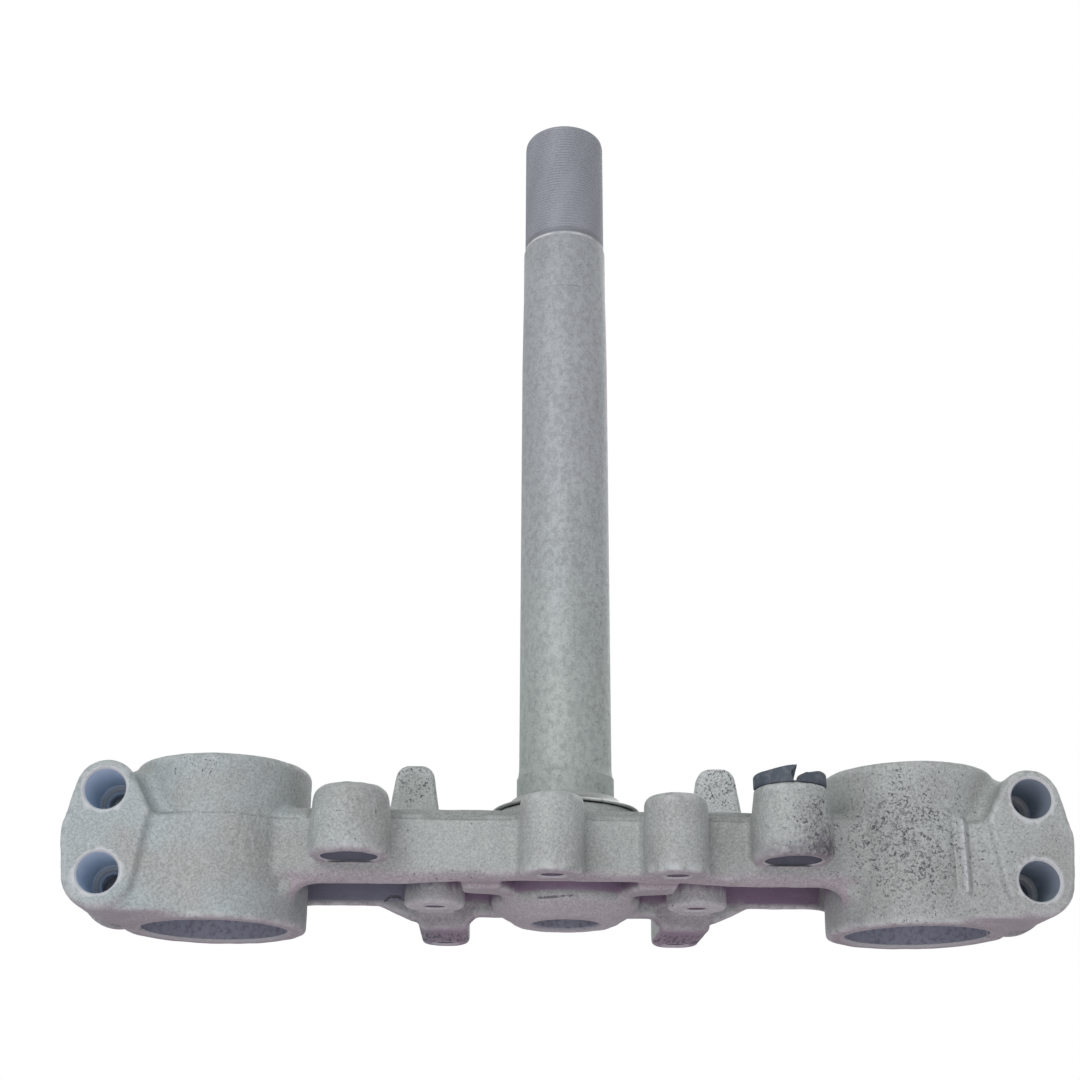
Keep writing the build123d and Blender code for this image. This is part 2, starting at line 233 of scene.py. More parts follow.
def turned(
    profile: Profile, centre: np.ndarray, way: Way = Way.UP, segments: int = 96, ring: bool = False
) -> Surface:
    """Turn a profile about an axis: centre + radius (cos a u + sin a v) + height w.

    Args:
        profile: one (radius, height) row for each point of the profile.
        centre: the point of the axis that heights start from.
        way: the axis w and the directions u and v across it.
        segments: points in a full turn.
        ring: whether the profile closes on itself, as a ring's does; otherwise its ends get flat caps.

    Returns:
        The turned surface.
    """
    axis, u, v = np.array(way.value, float)
    angle = np.linspace(0.0, 2.0 * math.pi, segments, endpoint=False)
    round_way = np.cos(angle)[:, None] * u + np.sin(angle)[:, None] * v
    radius, height = np.asarray(profile, float).T
    points = centre + radius[:, None, None] * round_way + height[:, None, None] * axis
    rows = len(radius)
    quads = grid_quads(rows, segments, ring)
    caps = [] if ring else [list(range(segments))[::-1], list(range((rows - 1) * segments, rows * segments))]
    return Surface(points.reshape(-1, 3), quads, caps)


def block(low: Place, high: Place) -> Surface:
    """A box between two corners: each corner takes the low or the high value on each axis."""
    pick = np.array([[i & 1, (i >> 1) & 1, (i >> 2) & 1] for i in range(8)])
    points = np.where(pick == 1, np.array(high, float), np.array(low, float))
    quads = np.array([[0, 2, 3, 1], [4, 5, 7, 6], [0, 1, 5, 4], [2, 6, 7, 3], [0, 4, 6, 2], [1, 3, 7, 5]])
    return Surface(points, quads)


def settle_modifiers(piece: bpy.types.Object) -> None:
    """Replace a piece's mesh by the one that its modifiers give, and drop them."""
    graph = bpy.context.evaluated_depsgraph_get()
    made = bpy.data.meshes.new_from_object(piece.evaluated_get(graph))
    piece.modifiers.clear()
    piece.data = made


def carve(piece: bpy.types.Object, tool: Surface) -> None:
    """Cut a solid tool out of a piece.

    Args:
        piece: the object that is cut.
        tool: a closed surface, or several that don't overlap.
    """
    cutter = tool.piece("cutter")
    cut = piece.modifiers.new("cut", "BOOLEAN")
    cut.operation, cut.solver, cut.object = "DIFFERENCE", "MANIFOLD", cutter
    settle_modifiers(piece)
    bpy.data.objects.remove(cutter)


def read_points(data: bpy.types.Mesh) -> np.ndarray:
    """A mesh's points in millimetres above the clamps' undersides."""
    flat = np.empty(len(data.vertices) * 3, np.float32)
    data.vertices.foreach_get("co", flat)
    return flat.reshape(-1, 3).astype(float) / MM + (0.0, 0.0, BENCH)


def write_points(data: bpy.types.Mesh, points: np.ndarray) -> None:
    """Put points, in millimetres above the clamps' undersides, back into a mesh."""
    place = (points - (0.0, 0.0, BENCH)) * MM
    data.vertices.foreach_set("co", place.astype(np.float32).ravel())
    data.update()


def read_edges(data: bpy.types.Mesh) -> np.ndarray:
    """The two point numbers of each edge of a mesh."""
    flat = np.empty(len(data.edges) * 2, np.int32)
    data.edges.foreach_get("vertices", flat)
    return flat.reshape(-1, 2)


def read_normals(data: bpy.types.Mesh) -> np.ndarray:
    """The point normals of a mesh."""
    flat = np.empty(len(data.vertices) * 3, np.float32)
    data.vertex_normals.foreach_get("vector", flat)
    return flat.reshape(-1, 3).astype(float)


def neighbour_mean(values: np.ndarray, edges: np.ndarray) -> np.ndarray:
    """The mean of each point's neighbours along the edges.

    Args:
        values: one row for each point.
        edges: the two point numbers of each edge.

    Returns:
        One row for each point.
    """
    size = len(values)
    ends = np.concatenate([edges[:, 0], edges[:, 1]])
    others = np.concatenate([edges[:, 1], edges[:, 0]])
    count = np.maximum(np.bincount(ends, minlength=size), 1)
    columns = [np.bincount(ends, values[others, k], size) / count for k in range(values.shape[1])]
    return np.stack(columns, 1)


def paint(data: bpy.types.Mesh, name: str, values: np.ndarray) -> None:
    """Store one number for each point of a mesh under a name that finishes read."""
    layer = data.attributes.new(name, "FLOAT", "POINT")
    layer.data.foreach_set("value", values.astype(np.float32))


def smooth(data: bpy.types.Mesh, angle: float) -> None:
    """Shade a mesh smoothly, with sharp edges where its faces meet at more than an angle in degrees."""
    data.shade_smooth()
    data.set_sharp_from_angle(angle=math.radians(angle))


@dataclass(frozen=True)
class Patch:
    """A soft patch: strength times exp of minus the squared distance from a spot.

    The distance is measured in the patch's own reach on each axis.
    """

    strength: float
    spot: Place
    reach: Place

    def share(self, points: np.ndarray) -> np.ndarray:
        """The patch's strength at each point."""
        away = (points - np.array(self.spot)) / np.array(self.reach)
        return self.strength * np.exp(-(away**2).sum(1))


class Value:
    """A shader socket that takes part in arithmetic: each operation adds a Math node."""

    def __init__(self, tree: "FinishTree", socket: bpy.types.NodeSocket) -> None:
        """Wrap one output socket of a finish's node tree."""
        self.tree = tree
        self.socket = socket

    def _math(self, operation: str, first: object, second: object) -> "Value":
        """Add one Math node."""
        return self.tree.node("ShaderNodeMath", {"operation": operation}, {0: first, 1: second})

    def __add__(self, other: object) -> "Value":
        """self + other."""
        return self._math("ADD", self, other)

    def __radd__(self, other: object) -> "Value":
        """other + self."""
        return self._math("ADD", other, self)

    def __sub__(self, other: object) -> "Value":
        """self - other."""
        return self._math("SUBTRACT", self, other)

    def __rsub__(self, other: object) -> "Value":
        """other - self."""
        return self._math("SUBTRACT", other, self)

    def __mul__(self, other: object) -> "Value":
        """self times other."""
        return self._math("MULTIPLY", self, other)

    def __rmul__(self, other: object) -> "Value":
        """other times self."""
        return self._math("MULTIPLY", other, self)

    def __or__(self, other: object) -> "Value":
        """The larger of self and other."""
        return self._math("MAXIMUM", self, other)

    def step(self, low: object, high: object) -> "Value":
        """Rise smoothly from 0 where self is low to 1 where it is high."""
        return self.tree.node(
            "ShaderNodeMapRange",
            {"interpolation_type": "SMOOTHSTEP"},
            {"Value": self, "From Min": low, "From Max": high},
        )

    def band(self, up: Span, down: Span) -> "Value":
        """Rise smoothly from 0 to 1 over one stretch of self and fall back over another."""
        return self.step(*up) * (1.0 - self.step(*down))


class FinishTree:
    """The node tree of one material or of the world, written as expressions."""

    def __init__(self, owner: bpy.types.ID) -> None:
        """Empty the owner's node tree."""
        owner.use_nodes = True
        self.nodes = owner.node_tree.nodes
        self.links = owner.node_tree.links
        self.nodes.clear()

    def node(self, kind: str, settings: dict, sockets: dict, out: int | str = 0) -> Value:
        """Add a node.

        Args:
            kind: the node's type.
            settings: properties that are set first.
            sockets: values or links of its inputs, by name or number.
            out: the output that is handed on.

        Returns:
            The wrapped output.
        """
        made = self.nodes.new(kind)
        for key, setting in settings.items():
            setattr(made, key, setting)
        for key, given in sockets.items():
            self.feed(made.inputs[key], given)
        return Value(self, made.outputs[out]) if len(made.outputs) else Value(self, None)

    def feed(self, socket: bpy.types.NodeSocket, given: object) -> None:
        """Link a wrapped socket to an input, or set the input's own value."""
        if isinstance(given, Value):
            self.links.new(given.socket, socket)
        elif isinstance(given, tuple) and len(given) == 3 and socket.type == "RGBA":
            socket.default_value = (*given, 1.0)
        else:
            socket.default_value = given

    def place(self) -> Value:
        """The object's own coordinates, in metres."""
        return self.node("ShaderNodeTexCoord", {}, {}, "Object")

    def noise(
        self, size: float, detail: float = 2.0, roughness: float = 0.5, stretch: Place = (1.0, 1.0, 1.0)
    ) -> Value:
        """Cloudy noise of about 0 to 1.

        Args:
            size: its largest grain in millimetres.
            detail: how many finer layers it has.
            roughness: how strong the finer layers are.
            stretch: how many times longer the grain is along each axis.

        Returns:
            The noise.
        """
        squeeze = tuple(1.0 / s for s in stretch)
        where = self.node("ShaderNodeMapping", {}, {"Vector": self.place(), "Scale": squeeze})
        return self.node(
            "ShaderNodeTexNoise",
            {},
            {"Vector": where, "Scale": 1.0 / (size * MM), "Detail": detail, "Roughness": roughness},
        )

    def painted(self, name: str) -> Value:
        """A number that was painted on the mesh."""
        return self.node("ShaderNodeAttribute", {"attribute_name": name}, {}, "Fac")

    def blend(self, share: object, first: object, second: object) -> Value:
        """Mix two colours: the first where share is 0, the second where it is 1."""
        return self.node("ShaderNodeMix", {"data_type": "RGBA"}, {0: share, 6: first, 7: second}, 2)

    def tint(self, colour: object, amount: object) -> Value:
        """A colour times a number."""
        return self.vector("SCALE", {0: colour, "Scale": amount})

    def vector(self, operation: str, sockets: dict, out: int | str = 0) -> Value:
        """Add one Vector Math node."""
        return self.node("ShaderNodeVectorMath", {"operation": operation}, sockets, out)

    def rays(self, *kinds: str) -> Value:
        """1 for light rays of the named kinds and 0 for others."""
        found = [self.node("ShaderNodeLightPath", {}, {}, f"Is {kind} Ray") for kind in kinds]
        return reduce(or_, found)

    def across(self) -> Value:
        """Metres to the right of the middle."""
        return self.node("ShaderNodeSeparateXYZ", {}, {0: self.place()}, 0)

    def height(self) -> Value:
        """Millimetres above the clamps' undersides."""
        return self.node("ShaderNodeSeparateXYZ", {}, {0: self.place()}, 2) * (1.0 / MM) + BENCH

    def stroke(self, start: Place, end: Place, width: float) -> Value:
        """A line drawn on the surface.

        Args:
            start: one end, in millimetres above the clamps' undersides.
            end: the other end.
            width: the line's width in millimetres.

        Returns:
            1 on the line and 0 off it: a step of the distance from the stretch between the ends.
        """
        low = np.array([0.0, 0.0, BENCH])
        first, along = (np.array(start) - low) * MM, (np.array(end) - np.array(start)) * MM
        arm = self.vector("SUBTRACT", {0: self.place(), 1: tuple(first)})
        reach = self.vector("DOT_PRODUCT", {0: arm, 1: tuple(along / (along @ along))}, "Value")
        share = self.node("ShaderNodeClamp", {}, {"Value": reach})
        gap = self.vector("DISTANCE", {0: arm, 1: self.tint(tuple(along), share)}, "Value")
        return 1.0 - gap.step(0.3 * width * MM, 0.7 * width * MM)

    def bump(self, relief: Value, depth: float) -> Value:
        """Turn relief into a bumped normal; depth is the height of 1 in millimetres."""
        return self.node("ShaderNodeBump", {}, {"Height": relief, "Distance": depth * MM, "Strength": 1.0})

    def surface(self, sockets: dict) -> None:
        """Close the tree with one principled shader."""
        shader = self.node("ShaderNodeBsdfPrincipled", {}, sockets)
        self.node("ShaderNodeOutputMaterial", {}, {"Surface": shader})


def new_tree(name: str) -> tuple[bpy.types.Material, FinishTree]:
    """A new material and its empty node tree."""
    material = bpy.data.materials.new(name)
    return material, FinishTree(material)


@dataclass(frozen=True)
class CastFinish:
    """Blasted casting: grey grain, stains, dark specks, worn edges, undersides in painted mauve bounce light
    and shade, and bores in painted bluish shade.

    Its methods read what the casting paints on its mesh. A dark line has a start, an end and a width, in
    millimetres above the clamps' undersides.
    """

    pale: Colour = (0.380, 0.408, 0.398)
    cool: Colour = (0.350, 0.395, 0.405)
    stained: Colour = (0.335, 0.354, 0.345)
    speck: Colour = (0.075, 0.078, 0.088)
    # worn: pale metal of wear, also used as painted light on the posts and under the hub
    worn: Colour = (0.580, 0.605, 0.605)
    # under: painted mauve bounce light on faces that point down, and painted shade at the front wall's foot
    # and on the tabs
    under: Colour = (0.385, 0.342, 0.375)
    # blue and purple colours of painted shade in the channel, the slot, the small holes and on the tabs, and
    # of soot patches
    blue_shade_and_dirt: Colour = (0.205, 0.212, 0.270)
    purple_shade_and_dirt: Colour = (0.250, 0.185, 0.265)
    # bore: machined wall in painted bluish shade
    bore: Colour = (0.300, 0.325, 0.390)
    bore_fleck: Colour = (0.215, 0.205, 0.265)
    # seat: screw seats brightened with painted light
    seat: Colour = (0.510, 0.610, 0.730)
    lip: Colour = (0.590, 0.615, 0.635)
    crease: Colour = (0.110, 0.105, 0.120)
    parting: float = 27.3
    relief_depth: float = 0.20
    dark_lines: tuple[tuple[Place, Place, float], ...] = (
        ((-8.5, -19.0, 8.7), (-3.0, -20.2, 9.0), 0.7),
        ((-3.0, -20.2, 9.0), (1.0, -20.8, 9.2), 0.5),
        ((-51.0, 5.7, 11.7), (-49.6, 5.7, 13.1), 0.6),
        ((-49.6, 5.7, 13.1), (-47.4, 5.7, 13.1), 0.8),
        ((-47.4, 5.7, 13.1), (-45.4, 5.7, 12.0), 0.7),
        ((72.7, -21.5, 21.2), (76.4, -27.8, 18.9), 0.5),
        ((76.4, -27.8, 18.9), (80.7, -32.1, 17.3), 0.4),
        ((-75.6, -30.0, 18.9), (-69.1, -30.0, 21.1), 0.5),
    )

    def grain(self, t: FinishTree) -> Value:
        """The casting's sandy grain."""
        return t.noise(1.1, 2.0, 0.6)

    def skin(self, t: FinishTree) -> Value:
        """The bare casting's colour: cooler on the left, stained, in painted mauve bounce light and shade
        below, in painted light on the posts and hub, and worn in places.
        """
        colour = t.blend(t.across().step(-0.05, -0.10), self.pale, self.cool)
        colour = t.blend(t.noise(20.0, 2.0).step(0.40, 0.64), colour, self.stained)
        # painted mauve bounce light and shade on the undersides, the tabs and the front wall's foot
        colour = t.blend(t.painted("under"), colour, self.under)
        # painted light on the posts and under the hub, and wear on the steering stops
        colour = t.blend(t.painted("silver"), colour, self.worn)
        fine = t.noise(0.55, 1.0).step(0.3, 0.7)
        colour = t.tint(colour, 0.83 + 0.24 * fine + 0.10 * self.grain(t).step(0.3, 0.7))
        plain = 1.0 - (t.painted("machined") | t.painted("dirt"))
        colour = t.blend(0.40 * t.noise(0.7, 1.0).step(0.62, 0.72) * plain, colour, self.worn)
        edges = t.painted("convex") * t.noise(2.5, 2.0).step(0.35, 0.6)
        return t.blend(0.55 * edges * plain, colour, self.worn)

    def specks(self, t: FinishTree) -> Value:
        """Dark specks in two sizes, closer where the casting is painted so."""
        density = t.painted("speckle")
        coarse, small = 0.71 - 0.20 * density, 0.70 - 0.20 * density
        specks = t.noise(1.2, 3.0, 0.66).step(coarse, coarse + 0.06)
        specks = specks | (0.8 * t.noise(0.7, 2.0, 0.6).step(small, small + 0.06))
        return specks * (0.55 + 0.45 * t.noise(3.0, 1.0).step(0.4, 0.6))

    def lines(self, t: FinishTree, up: Value) -> Value:
        """The ledge at the parting height and the drawn cracks and creases, broken up by noise."""
        low, high = (self.parting - 0.3, self.parting), (self.parting + 0.1, self.parting + 0.5)
        lines = 0.42 * t.painted("seam") * up.band(low, high)
        for start, end, width in self.dark_lines:
            lines = lines | t.stroke(start, end, width)
        return lines * t.noise(1.6, 2.0).step(0.36, 0.52)

    def walls(self, t: FinishTree) -> Value:
        """The machined walls' colour: flecked bores in painted bluish shade, and screw seats brightened with
        painted light and darkened on the right with painted shade.
        """
        wall = t.blend(t.noise(1.3, 4.0, 0.65).step(0.46, 0.66), self.bore, self.bore_fleck)
        # painted light in the screw seats, with painted shade on the right side
        seat_light_and_shade = t.tint(self.seat, 1.12 - 0.50 * t.across().step(-0.02, 0.02))
        return t.blend(t.painted("seat"), wall, seat_light_and_shade)

    def shaded_and_soiled(self, t: FinishTree, colour: Value, specks: Value) -> Value:
        """Lay painted shade, soot and streaks over a colour.

        Args:
            t: the material's tree.
            colour: the clean colour.
            specks: the share of dark specks.

        Returns:
            The colour with painted shade, soot and streaks laid over it.
        """
        dirt = t.painted("dirt")
        mixed = t.blend(t.painted("purple"), self.blue_shade_and_dirt, self.purple_shade_and_dirt)
        # painted shade in the recesses, the small holes and under the tabs, blended with soot where it lies
        colour = t.blend(dirt * (0.75 + 0.4 * t.noise(2.0, 3.0, 0.6)).step(0.0, 1.0), colour, mixed)
        streaks = t.noise(0.9, 2.0, 0.6, (1.0, 8.0, 8.0)).step(0.45, 0.58) * t.painted("streaks")
        colour = t.blend(0.75 * (streaks | (0.7 * specks * dirt)), colour, self.speck)
        soot = t.painted("soot") * t.noise(1.5, 3.0, 0.66).step(0.34, 0.56)
        return t.blend(0.8 * soot, colour, self.speck)

    def material(self) -> bpy.types.Material:
        """Lay the colours over each other by noise and by what is painted on the casting."""
        made, t = new_tree("blasted_casting")
        cut, rough = t.painted("machined"), t.painted("rough")
        up = t.height() + 0.8 * t.noise(7.0, 2.0) - 0.4
        strip = t.painted("strip") * up.step(self.parting, self.parting + 0.5)
        specks, lines = self.specks(t), self.lines(t, up)
        # painted shade: the front wall darker above the parting height, where a bevel lies
        colour = t.tint(self.skin(t), 1.0 - 0.20 * strip)
        colour = t.blend(0.9 * specks * (1.0 - cut), colour, self.speck)
        # machined walls: painted bluish shade in the bores, painted light in the screw seats
        colour = t.blend(cut, colour, self.walls(t))
        colour = self.shaded_and_soiled(t, colour, specks)
        colour = t.blend(0.85 * t.painted("lip"), colour, self.lip)
        colour = t.blend(0.8 * lines, colour, self.crease)
        sandy = 0.5 * self.grain(t) + (0.9 + 3.2 * rough) * t.noise(2.4, 2.0, 0.6)
        relief = sandy - 0.7 * specks - 1.2 * strip - lines
        t.surface(
            {
                "Base Color": colour,
                "Metallic": 0.30 * (1.0 - t.painted("seat")),
                "Roughness": 0.64 - 0.14 * cut + 0.1 * specks,
                "Normal": t.bump(relief * (1.0 - 0.85 * cut), self.relief_depth),
            }
        )
        return made


@dataclass(frozen=True)
class StemFinish:
    """Dull steel: greenish below, bluish above, darker in the thread, mottled and finely specked."""

    low: Colour = (0.352, 0.388, 0.374)
    middle: Colour = (0.330, 0.350, 0.366)
    thread: Colour = (0.264, 0.280, 0.310)
    bare: Colour = (0.560, 0.580, 0.600)
    speck: Colour = (0.150, 0.150, 0.150)
    thread_start: float = 221.5
    journal_foot: float = 201.9

    def worked(self, t: FinishTree, colour: Value, up: Value) -> Value:
        """Bare the edge below the thread, darken the thread's run-out and score the journal's foot.

        Args:
            t: the material's tree.
            colour: the plain colour.
            up: the height along the stem.

        Returns:
            The colour with those three marks.
        """
        start, foot = self.thread_start, self.journal_foot
        edge = up.band((start - 0.7, start - 0.4), (start + 0.1, start + 0.4))
        colour = t.blend(edge * t.noise(7.0, 2.0).step(0.30, 0.55), colour, self.bare)
        run_out = up.band((start + 0.3, start + 0.6), (start + 1.0, start + 3.0))
        score = up.band((foot - 0.3, foot), (foot, foot + 0.4)) * t.noise(8.0, 1.0).step(0.4, 0.6)
        return t.tint(colour, 1.0 - 0.35 * run_out - 0.25 * score)

    def material(self) -> bpy.types.Material:
        """Change the colour along the stem, mottle it, speck it and add the marks of its making."""
        made, t = new_tree("dull_steel")
        up, start = t.height(), self.thread_start
        grain, fine = t.noise(0.8, 2.0, 0.6), t.noise(0.5, 1.0).step(0.3, 0.7)
        cloud = t.noise(14.0, 4.0, 0.6, (1.0, 1.0, 2.0))
        mottle = t.noise(1.7, 4.0, 0.70, (1.0, 1.0, 1.3)).step(0.40, 0.64)
        mottle = mottle * (1.0 - up.step(start, start + 1.0))
        colour = t.blend(up.step(60.0, 150.0), self.low, self.middle)
        colour = t.blend(up.step(start, start + 0.6), colour, self.thread)
        colour = t.tint(colour, 0.76 + 0.16 * grain + 0.14 * fine + 0.12 * cloud.step(0.3, 0.7))
        colour = t.tint(colour, 1.07 - 0.17 * mottle)
        rim = 0.66 - 0.07 * t.across().step(0.002, 0.012) * (1.0 - up.step(90.0, 170.0))
        colour = t.blend(0.55 * t.noise(1.3, 3.0, 0.66).step(rim, rim + 0.06), colour, self.speck)
        t.surface(
            {
                "Base Color": self.worked(t, colour, up),
                "Metallic": 0.45,
                "Roughness": 0.50 + 0.14 * cloud + 0.06 * mottle,
                "Normal": t.bump(grain, 0.05),
            }
        )
        return made


@dataclass(frozen=True)
class WasherFinish:
    """Grey steel with bare bright metal and a painted highlight on the rim."""

    dull: Colour = (0.340, 0.360, 0.350)
    # bare: bright metal that also serves as a painted highlight
    bare: Colour = (0.640, 0.660, 0.650)

    def material(self) -> bpy.types.Material:
        """Bare metal with a painted highlight where it is painted, broken up by noise."""
        made, t = new_tree("dust_washer_steel")
        # the painted highlight on the rim
        bare = t.painted("bare") * t.noise(4.0, 3.0).step(0.30, 0.45)
        colour = t.blend(bare, self.dull, self.bare)
        t.surface(
            {
                "Base Color": t.tint(colour, 0.85 + 0.3 * t.noise(1.2, 2.0)),
                "Metallic": 0.6,
                "Roughness": 0.5 - 0.18 * bare,
                "Normal": t.bump(t.noise(1.0, 2.0), 0.05),
            }
        )
        return made


@dataclass(frozen=True)
class BushFinish:
    """Matt dark blue-grey plastic, paler where it is rubbed."""

    dark: Colour = (0.060, 0.076, 0.098)
    rubbed: Colour = (0.112, 0.130, 0.156)

    def material(self) -> bpy.types.Material:
        """Rubbed patches by noise."""
        made, t = new_tree("torn_bush")
        rubbed = t.noise(3.0, 4.0, 0.65).step(0.45, 0.7)
        t.surface(
            {
                "Base Color": t.blend(rubbed, self.dark, self.rubbed),
                "Roughness": 0.62 - 0.12 * rubbed,
                "Normal": t.bump(t.noise(0.8, 3.0), 0.08),
            }
        )
        return made


def hand_in(piece: bpy.types.Object, node: str, material: bpy.types.Material) -> None:
    """Dress a piece, attach it to the body, hide the CAD node that it stands for and log it.

    Args:
        piece: the finished piece.
        node: the CAD node that it replaces.
        material: its finish.
    """
    piece.data.materials.clear()
    piece.data.materials.append(material)
    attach(piece, BODY)
    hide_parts(node)
    triangles = sum(len(p.vertices) - 2 for p in piece.data.polygons)
    LOG.info("%s stands for %s with %d triangles", piece.name, node, triangles)


@dataclass(frozen=True)
class UprightHole:
    """A hole along Z, with its two ends and the chamfers of its mouths."""

    centre: np.ndarray
    radius: float
    low: float
    high: float
    low_lip: float
    high_lip: float
    past: float

    def axis(self) -> np.ndarray:
        """The point of the hole's axis at height 0."""
        return self.centre * (1, 1, 0)

    def tool(self, row: float) -> Surface:
        """The turned tool that cuts the hole.

        Args:
            row: how far below its lip a wall gets another row of points, so that paint can end there.

        Returns:
            A closed surface that flares past the mouths; a hole with no upper lip is blind.
        """
        low, high = self.low + self.low_lip, self.high - self.high_lip
        flare = self.radius + self.low_lip + self.past
        profile = [(flare, self.low - self.past), (self.radius, low), (self.radius, low + row)]
        if self.high_lip:
            flare = self.radius + self.high_lip + self.past
            profile += [(self.radius, high - row), (self.radius, high), (flare, self.high + self.past)]
        else:
            profile += [(self.radius, high)]
        return turned(profile, self.axis())

    def shares(self, points: np.ndarray) -> tuple[np.ndarray, np.ndarray]:
        """Tell the hole's wall and the rings of its lips.

        Args:
            points: the places that are asked about.

        Returns:
            Two shares for each point: of wall and of lip.
        """
        away = np.hypot(points[:, 0] - self.centre[0], points[:, 1] - self.centre[1])
        up, down = points[:, 2] - self.low, self.high - points[:, 2]
        wall = (away < self.radius + 0.1) & (up > self.low_lip + 0.1) & (down > self.high_lip - 0.1)
        near_low = (np.abs(up) < self.low_lip + 0.1) & (away < self.radius + self.low_lip + 0.15)
        near_high = (np.abs(down) < self.high_lip + 0.1) & (away < self.radius + self.high_lip + 0.15)
        ring = (near_low | near_high) & (away > self.radius - 0.1) & ~wall
        return wall.astype(float), ring.astype(float)


@dataclass
class YokeCasting:
    """The yoke as it is made: cast in one skin from the CAD form, then bored, slit and drilled.

    Sizes are millimetres, and heights start at the clamps' undersides.
    """

    node: str = "lower_yoke"
    grain: float = 0.6
    soften_passes: int = 2
    worn_passes: int = 14
    convex_passes: int = 6
    most_triangles: int = 170000
    soften_share: float = 0.5
    lump_height: float = 0.09
    lump_length: float = 8.0
    plug_margin: float = 0.6
    past: float = 1.0
    bore_chamfer: float = 0.7
    hole_chamfer: float = 0.5
    boss_chamfer: float = 0.3
    edge_row: float = 0.25
    sharp_angle: float = 32.0
    slit_width: float = 2.2
    slit_end: float = 135.0
    lug_radius: float = 10.0
    lug_end: float = -3.0
    wall_front: float = -34.0
    wall_rear: float = -24.0
    wall_lift: float = 1.1
    hub_drop: float = 0.5
    ridge_x: float = 103.4
    ridge_height: float = 1.2
    parting: float = 27.3
    ear_face: float = -38.4
    ear_back: float = 7.5
    seat_radius: float = 5.4
    tap_radius: float = 2.5
    hub_radius: float = 21.0
    hub_floor: float = 8.1
    hub_top: float = 36.2
    hub_bottom: float = 4.5
    foot_radius: float = 14.32
    channel_front: float = -25.0
    channel_rear: float = 5.7
    channel_top: float = 23.8
    channel_foot: float = 10.7
    channel_half: float = 73.0
    post_radius: float = 8.4
    stop_x: float = 43.0
    stop_foot: float = 31.0
    boss_top: dict[Side, float] = field(default_factory=lambda: {Side.LEFT: 34.3, Side.RIGHT: 35.2})
    boss_bottom: float = 15.9
    guide_top: float = 32.6
    tab_top: float = 18.6
    tab_half: float = 7.1
    blind_top: float = 26.3
    rough_patches: tuple[Patch, ...] = (
        Patch(0.8, (-86.5, -36.0, 22.0), (5.0, 5.0, 7.0)),
        Patch(0.3, (0.0, -34.0, 22.0), (60.0, 9.0, 12.0)),
    )
    soot_patches: tuple[Patch, ...] = (
        Patch(1.0, (66.5, -44.0, 18.5), (4.5, 7.0, 2.8)),
        Patch(0.6, (58.0, -48.0, 16.5), (11.0, 8.0, 2.4)),
    )
    speck_patches: tuple[Patch, ...] = (
        Patch(0.55, (90.0, -36.0, 13.0), (23.0, 18.0, 18.0)),
        Patch(0.50, (86.0, -36.0, 32.0), (22.0, 16.0, 15.0)),
        Patch(0.70, (63.0, -47.0, 25.0), (9.0, 9.0, 11.0)),
        Patch(0.30, (-58.0, -48.0, 25.0), (9.0, 8.0, 9.0)),
        Patch(0.35, (-95.0, -38.0, 41.0), (18.0, 16.0, 6.0)),
        Patch(0.75, (43.0, -5.0, 44.0), (9.0, 6.0, 9.0)),
        Patch(0.60, (-43.0, -5.0, 44.0), (9.0, 6.0, 8.0)),
        Patch(0.35, (122.0, -40.0, 18.0), (8.0, 6.0, 14.0)),
        Patch(0.40, (-30.0, -30.0, 12.0), (12.0, 6.0, 4.0)),
        Patch(0.45, (24.0, -5.0, 12.0), (9.0, 14.0, 8.0)),
    )

    def upright_holes(self) -> list[UprightHole]:
        """The holes along Z: fork bores, boss holes, guide holes and fender holes."""
        holes = []
        stay = Fitting.named("left_stay_bore")
        for side in Side:
            fork = Fitting.on(side, "fork_clamp")
            low, high = fork.centre[2] - fork.length / 2, fork.centre[2] + fork.length / 2
            chamfer = self.bore_chamfer
            holes.append(UprightHole(fork.centre, fork.radius, low, high, chamfer, chamfer, self.past))
            centre, top, lip = stay.centre * (-side.value, 1, 1), self.boss_top[side], self.boss_chamfer
            holes.append(
                UprightHole(centre, stay.radius, self.boss_bottom, top, lip, self.hole_chamfer, lip)
            )
        for name, top, upper_lip in (
            ("guide_holes", self.guide_top, self.hole_chamfer),
            ("rear_fender_holes", self.tab_top, self.hole_chamfer),
            ("front_fender_holes", self.blind_top, 0.0),
        ):
            pair = Fitting.named(name)
            for side in Side:
                centre = pair.centre + (side.value * pair.spacing / 2, 0.0, 0.0)
                low, lip = pair.centre[2], self.hole_chamfer
                holes.append(UprightHole(centre, pair.radius, low, top, lip, upper_lip, self.past))
        return holes

    def pinch_spots(self) -> list[np.ndarray]:
        """The middles of the four screw seats."""
        spots = []
        for side in Side:
            pair = Fitting.on(side, "pinch_screws")
            spots += [pair.centre + (0.0, 0.0, s * pair.spacing / 2) for s in (-1, 1)]
        return spots

    def from_post(self, points: np.ndarray) -> np.ndarray:
        """Each point's distance from the axis of the nearer front fender post."""
        post = Fitting.named("front_fender_holes")
        return np.hypot(np.abs(points[:, 0]) - post.spacing / 2, points[:, 1] - post.centre[1])

    def slits(self) -> list[Surface]:
        """The cuts that open the clamps outwards."""
        cuts = []
        for side in Side:
            fork = Fitting.on(side, "fork_clamp")
            half, reach = self.slit_width / 2, fork.length / 2 + self.past
            xs = sorted((fork.centre[0], side.value * self.slit_end))
            low = (xs[0], fork.centre[1] - half, fork.centre[2] - reach)
            high = (xs[1], fork.centre[1] + half, fork.centre[2] + reach)
            cuts.append(block(low, high))
        return cuts

